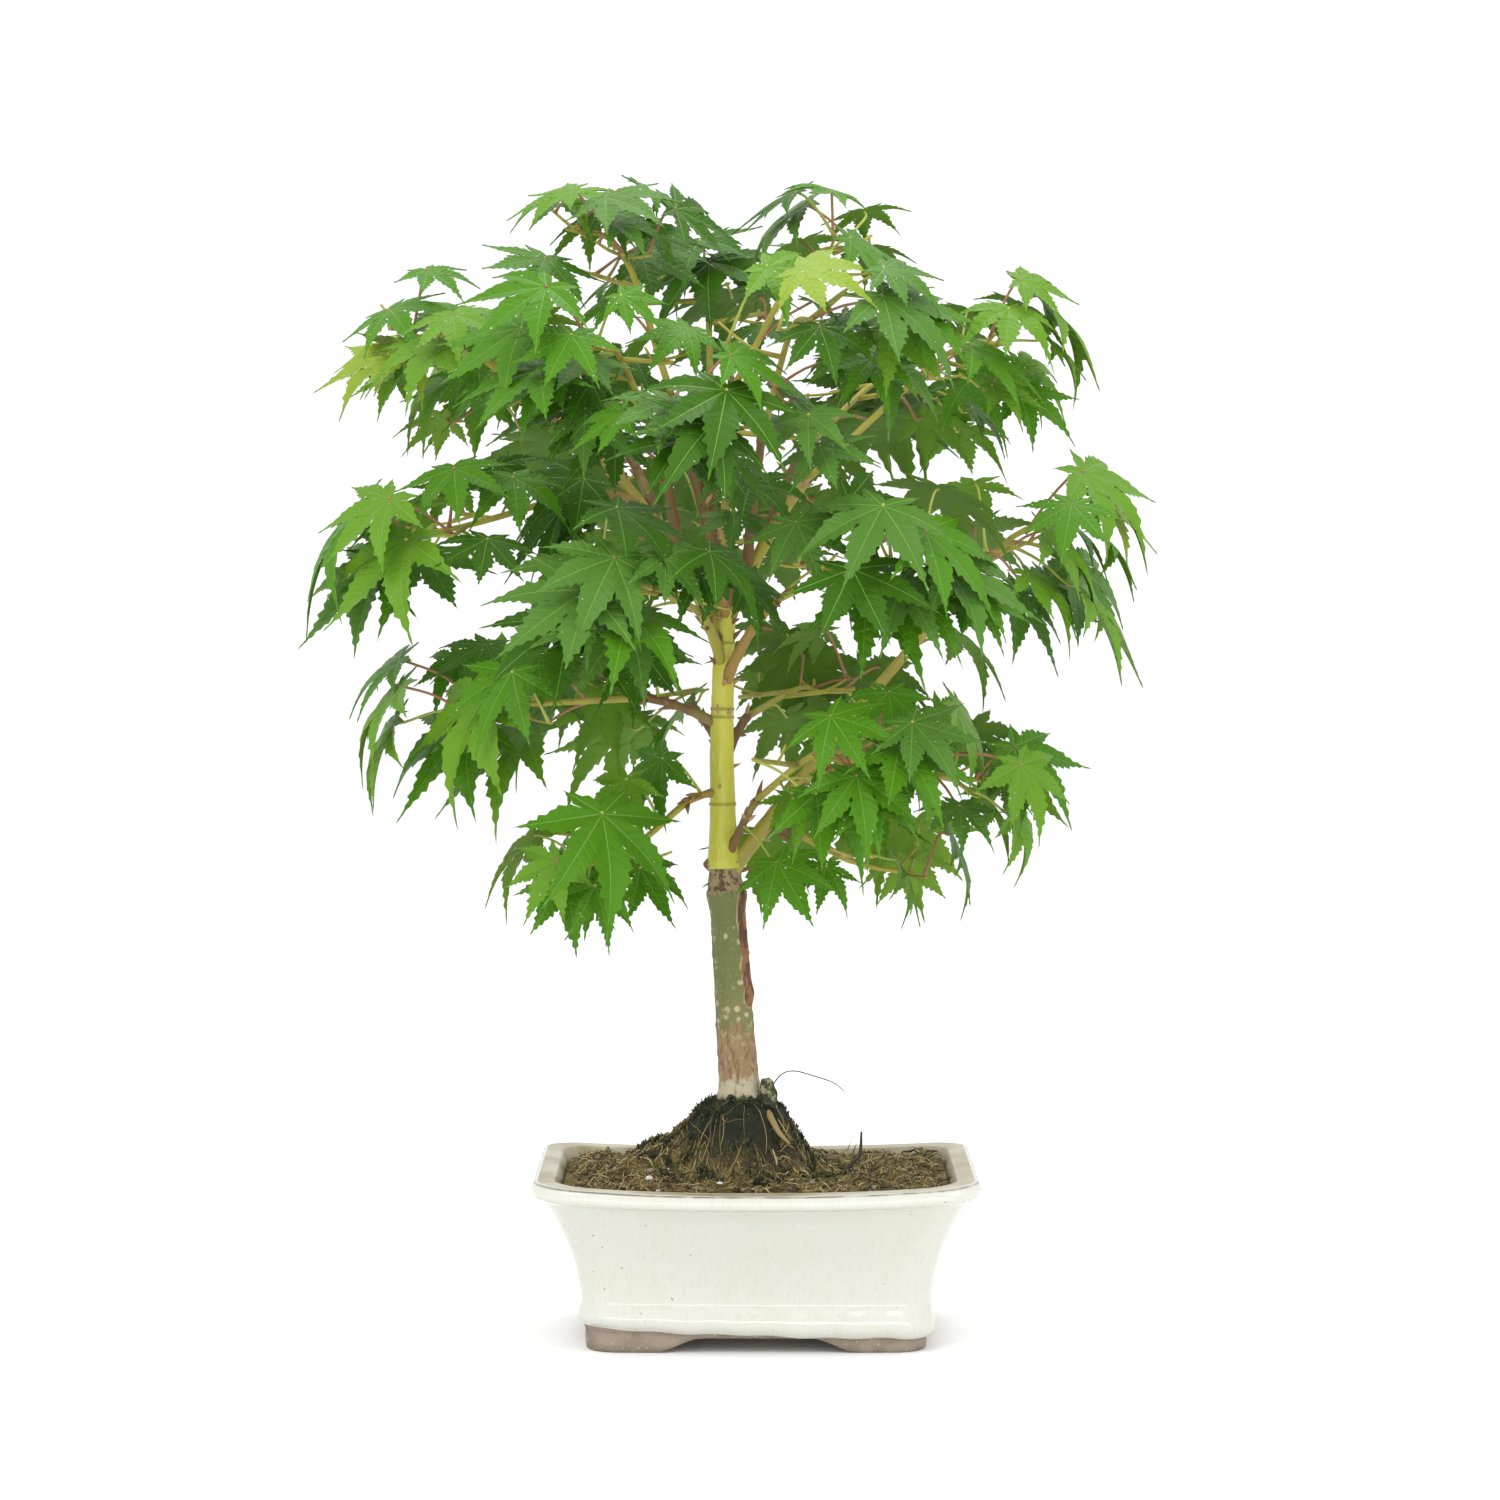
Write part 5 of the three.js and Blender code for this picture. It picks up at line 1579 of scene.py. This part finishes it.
def carry_on(mass, limbs, masses):
    """Finer twigs and the leaves on them and on the bough, within the same reach."""
    draw = seeded(SEED_OF.finer + 53 * mass.index)
    mass.finer = finer_twigs(mass, draw)
    limb = mass.limb
    nodes = [node_on(start, end, 1) for start, end in mass.finer]
    for share in BOUGH_NODES:
        nodes.append(node_on(limb.point((share - 0.02) * limb.last), limb.point(share * limb.last), 1))
    nodes.append(node_on(*mass.twigs[0][1:], 0.65))
    grown = [leaf for one in masses for leaf in one.leaves]
    near = [leaf for leaf in grown if math.dist(leaf.joint, mass.heart) < NEIGHBOUR_REACH]
    most = FINE_MOST.back if mass.heart[1] > BACK_FROM else FINE_MOST.front
    most = FINE_MOST.low if mass.heart[2] < LOW_HEART else most
    grow_leaves(mass, draw, nodes, obstacles(limbs, mass.twigs, FINE_LIMB_CLEARANCE), near, most, FINE_RULE)


# ---------------------------------------------------------------- leaves and twigs as pieces


def spray_green(leaf, mass):
    """The green of a leaf, dealt out by spray: lighter out at the sides, above and below, and darker in the
    crown's middle.
    The darker greens are partly older leaves and partly painted shade; the lighter ones are partly young
    leaves and partly painted light shining through the outer leaves.
    """
    deal = seeded(SEED_OF.greens + 17 * mass.index + leaf.spray)
    middle = leaf.joint + leaf.along * leaf.length * 0.4
    across = (middle[0] - AXIS_X) / CROWN.half_width
    out = math.hypot(across, 0.5 * middle[1] / CROWN.half_depth)
    rise = (middle[2] - CROWN.middle) / CROWN.half_height
    light = 0.62 * out + max(0.34 * rise, -0.62 * rise) + 0.4 * (deal() - 0.5)
    # Lime, dealt only near the crown's edges, is painted light: leaves lit through from behind.
    if deal() < 0.16 * smooth(0.55, 0.95, max(out, rise)):
        return "lime"
    if light > 0.88:
        return "yellow" if deal() < 0.3 else "fresh"
    if light > 0.6:
        return "fresh" if deal() < 0.5 else "mid"
    if light > 0.36:
        return "mid" if deal() < 0.6 else "grey"
    return "deep" if deal() < 0.65 else "grey"


def blade_points(leaf, shape, draw):
    """The pattern's points laid on the leaf's bent blade, with its fold and each lobe's own droop."""
    fold = lerp(0.1, 0.42, draw())
    droops = np.array([0.5 * (draw() - 0.3) for _ in range(2 * len(LOBE_TURN) - 1)])
    own = droops[shape.lobe] * np.clip(shape.reach - 0.3, 0, 1) ** 2 * 2
    relief = shape.relief + fold * (shape.spread - 0.06) - own
    offset = relief * leaf.length + shape.side * LEAF_THICKNESS / 2
    return on_blade(leaf, shape.flat, offset)


def leaf_stalk(leaf):
    """The leaf stalk's path, arched a little, from its root to the blade's joint."""
    middle = lerp(leaf.root, leaf.knee, 0.5) + UP * 0.06 * math.dist(leaf.root, leaf.knee)
    return curve_through([leaf.root, middle, leaf.knee, leaf.joint], 3)


def part_sides(mesh, sides):
    """Marks the leaf margins as sharp, so that top and underside are shaded apart. The side of a
    point is 1 on top, -1 on the underside and 0 on the margin."""
    ends = np.empty(2 * len(mesh.edges), np.int32)
    mesh.edges.foreach_get("vertices", ends)
    ends = ends.reshape(-1, 2)
    on_rim = sides == 0
    sharp = mesh.attributes.new("sharp_edge", "BOOLEAN", "EDGE")
    sharp.data.foreach_set("value", on_rim[ends[:, 0]] & on_rim[ends[:, 1]])


def add_flecks(bundle, points, shape, leaf, draw, slot):
    """Dried drops of water, small pale spots that lie just on the blade."""
    starts = np.cumsum(shape.sizes) - shape.sizes
    faces = np.flatnonzero((shape.slots == 0) & (shape.sizes == 4))
    for _ in range(FLECKS):
        face = faces[int(draw() * len(faces))]
        ring = points[shape.corners[starts[face]:starts[face] + 4]]
        middle = ring.mean(0) + leaf.face * 0.12
        size = lerp(0.12, 0.42, draw() ** 2)
        spots = [middle + (leaf.along * a + leaf.across * b) * size for a, b in FLECK_SHAPE]
        bundle.add(spots, [0, 1, 2, 3], [4], slot)


def leaf_piece(name, masses, shapes, materials):
    """The leaves of some masses as one piece."""
    names = list(LEAF_GREENS)
    on_top = np.ones(FLECKS * len(FLECK_SHAPE))
    bundle = Bundle()
    sides = []
    for mass in masses:
        draw = seeded(SEED_OF.blades + mass.index)
        for leaf in mass.leaves:
            shape = shapes[int(draw() * len(shapes))]
            green = 2 * names.index(spray_green(leaf, mass))
            slots = np.array([green, green + 1, len(materials) - 2])[shape.slots]
            points = blade_points(leaf, shape, draw)
            bundle.add(points, shape.corners, shape.sizes, slots, shape.rib)
            add_flecks(bundle, points, shape, leaf, draw, len(materials) - 1)
            sides += [shape.side, on_top]
    nodes = [f"foliage_{BOUGHS[mass.index][0]}" for mass in masses]
    piece = bundle.piece(f"leaves_{name}", materials, "leaves", *nodes)
    part_sides(piece.data, np.concatenate(sides))


def add_twigs(bundle, mass):
    """Twigs in the first material and leaf stalks in the others."""
    draw = seeded(SEED_OF.stalks + mass.index)
    for twig in mass.twigs:
        path = curve_through(twig, 5)
        base = STEM_RADIUS if len(twig) == 3 else TWIG_RADIUS
        bundle.add(*tube(path, np.linspace(base, 0.8, len(path)), 7), 0)
    for twig in mass.finer:
        path = curve_through([twig[0], lerp(twig[0], twig[1], 0.5) - UP * 0.6, twig[1]], 3)
        bundle.add(*tube(path, np.linspace(FINE_TWIG_RADIUS, 0.5, len(path)), 6), 0)
    for leaf in mass.leaves:
        path = leaf_stalk(leaf)
        shares = np.linspace(0, 1, len(path))
        radii = PETIOLE_RADIUS * (0.9 + 0.7 * np.exp(-shares * 9) + 0.3 * np.exp(-(1 - shares) * 12))
        bundle.add(*tube(path, radii, 5), 1 if draw() < 0.6 else 2)


def leaves_and_twigs(masses, shapes, barks):
    """The leaves in a few joined pieces by their place, and all twigs in one."""
    greens = leaf_materials()
    for name, words in LEAF_GROUPS.items():
        chosen = [mass for mass in masses if BOUGHS[mass.index][0] in words]
        leaf_piece(name, chosen, shapes, greens)
    bundle = Bundle()
    for mass in masses:
        add_twigs(bundle, mass)
    nodes = [f"foliage_{row[0]}" for row in BOUGHS]
    bundle.piece("twigs", [barks["green"], *young_barks(STALK_COLOURS)], "leaves", *nodes)


# ---------------------------------------------------------------- stage


def look(item, spot, aim):
    """Puts a lamp or the camera at a spot and turns it to its aim."""
    item.location = spot
    item.rotation_euler = (aim - Vector(spot)).to_track_quat("-Z", "Y").to_euler()


def stage_floor():
    half = FLOOR_SIDE / 2
    mesh = bpy.data.meshes.new("floor")
    corners = [(-half, -half, 0), (half, -half, 0), (half, half, 0), (-half, half, 0)]
    mesh.from_pydata(corners, [], [(0, 1, 2, 3)])
    mesh.materials.append(shader("floor", (250, 250, 250), 1.0))
    floor = add_object("floor", mesh)


def lights():
    world = bpy.data.worlds.new("soft_white")
    world.use_nodes = True
    background = world.node_tree.nodes["Background"]
    background.inputs["Color"].default_value = (1, 1, 1, 1)
    background.inputs["Strength"].default_value = WORLD_LIGHT
    bpy.context.scene.world = world
    for name, (spot, size, watts) in LAMPS.items():
        lamp = bpy.data.lights.new(name, "AREA")
        lamp.shape = "RECTANGLE"
        lamp.size, lamp.size_y = size
        lamp.energy = watts
        look(add_object(name, lamp), spot, Vector((POT_MIDDLE.x, POT_MIDDLE.y, AIM_HEIGHT)))


def camera():
    """The photograph's view, and its plain colours."""
    view = bpy.data.cameras.new("camera")
    view.sensor_width = SENSOR * 1000
    view.lens = FOCAL_PIXELS / PHOTO_SIDE * SENSOR * 1000
    holder = add_object("camera", view)
    x = POT_MIDDLE.x + CAMERA_LEFT
    spot = Vector((x, POT_MIDDLE.y - CAMERA_BACK, CAMERA_HEIGHT))
    look(holder, spot, Vector((x, POT_MIDDLE.y, AIM_HEIGHT)))
    bpy.context.scene.camera = holder
    bpy.context.scene.view_settings.view_transform = "Standard"


# ---------------------------------------------------------------- assembly


def build_pot_and_soil():
    clay = clay_material()
    pot_body([glaze_material(), clay, rim_glaze_material()])
    pot_feet(clay)
    soil_body(soil_material())
    soil_fibres(young_barks(FIBRE_COLOURS))
    soil_stones([shader("white_stone", (214, 208, 196), 0.7), clay, young_bark("red_crumb", (122, 64, 48))])
    moss_tufts([shader(name, colour, 0.9) for name, colour in MOSS_COLOURS.items()])
    mound_roots(young_barks(ROOT_COLOURS))
    mossy_stub(mossy_bark_material())


def build_tree():
    limbs = grow_limbs()
    trunk, leader, *boughs = limbs
    trunk_bark(trunk, [old_bark_material()])
    leader_bark(leader, [leader_material()])
    barks = bough_barks()
    bough_bark(boughs, barks)
    all_bud_scales(leader, boughs, young_barks(SCALE_COLOURS))
    masses = [grow_mass(index, limbs) for index in range(len(BOUGHS))]
    for mass in masses:
        carry_on(mass, limbs, masses)
    shapes = [LeafPattern(seeded(SEED_OF.patterns + number)) for number in range(LEAF_PATTERNS)]
    leaves_and_twigs(masses, shapes, barks)


camera()
lights()
stage_floor()
build_pot_and_soil()
build_tree()
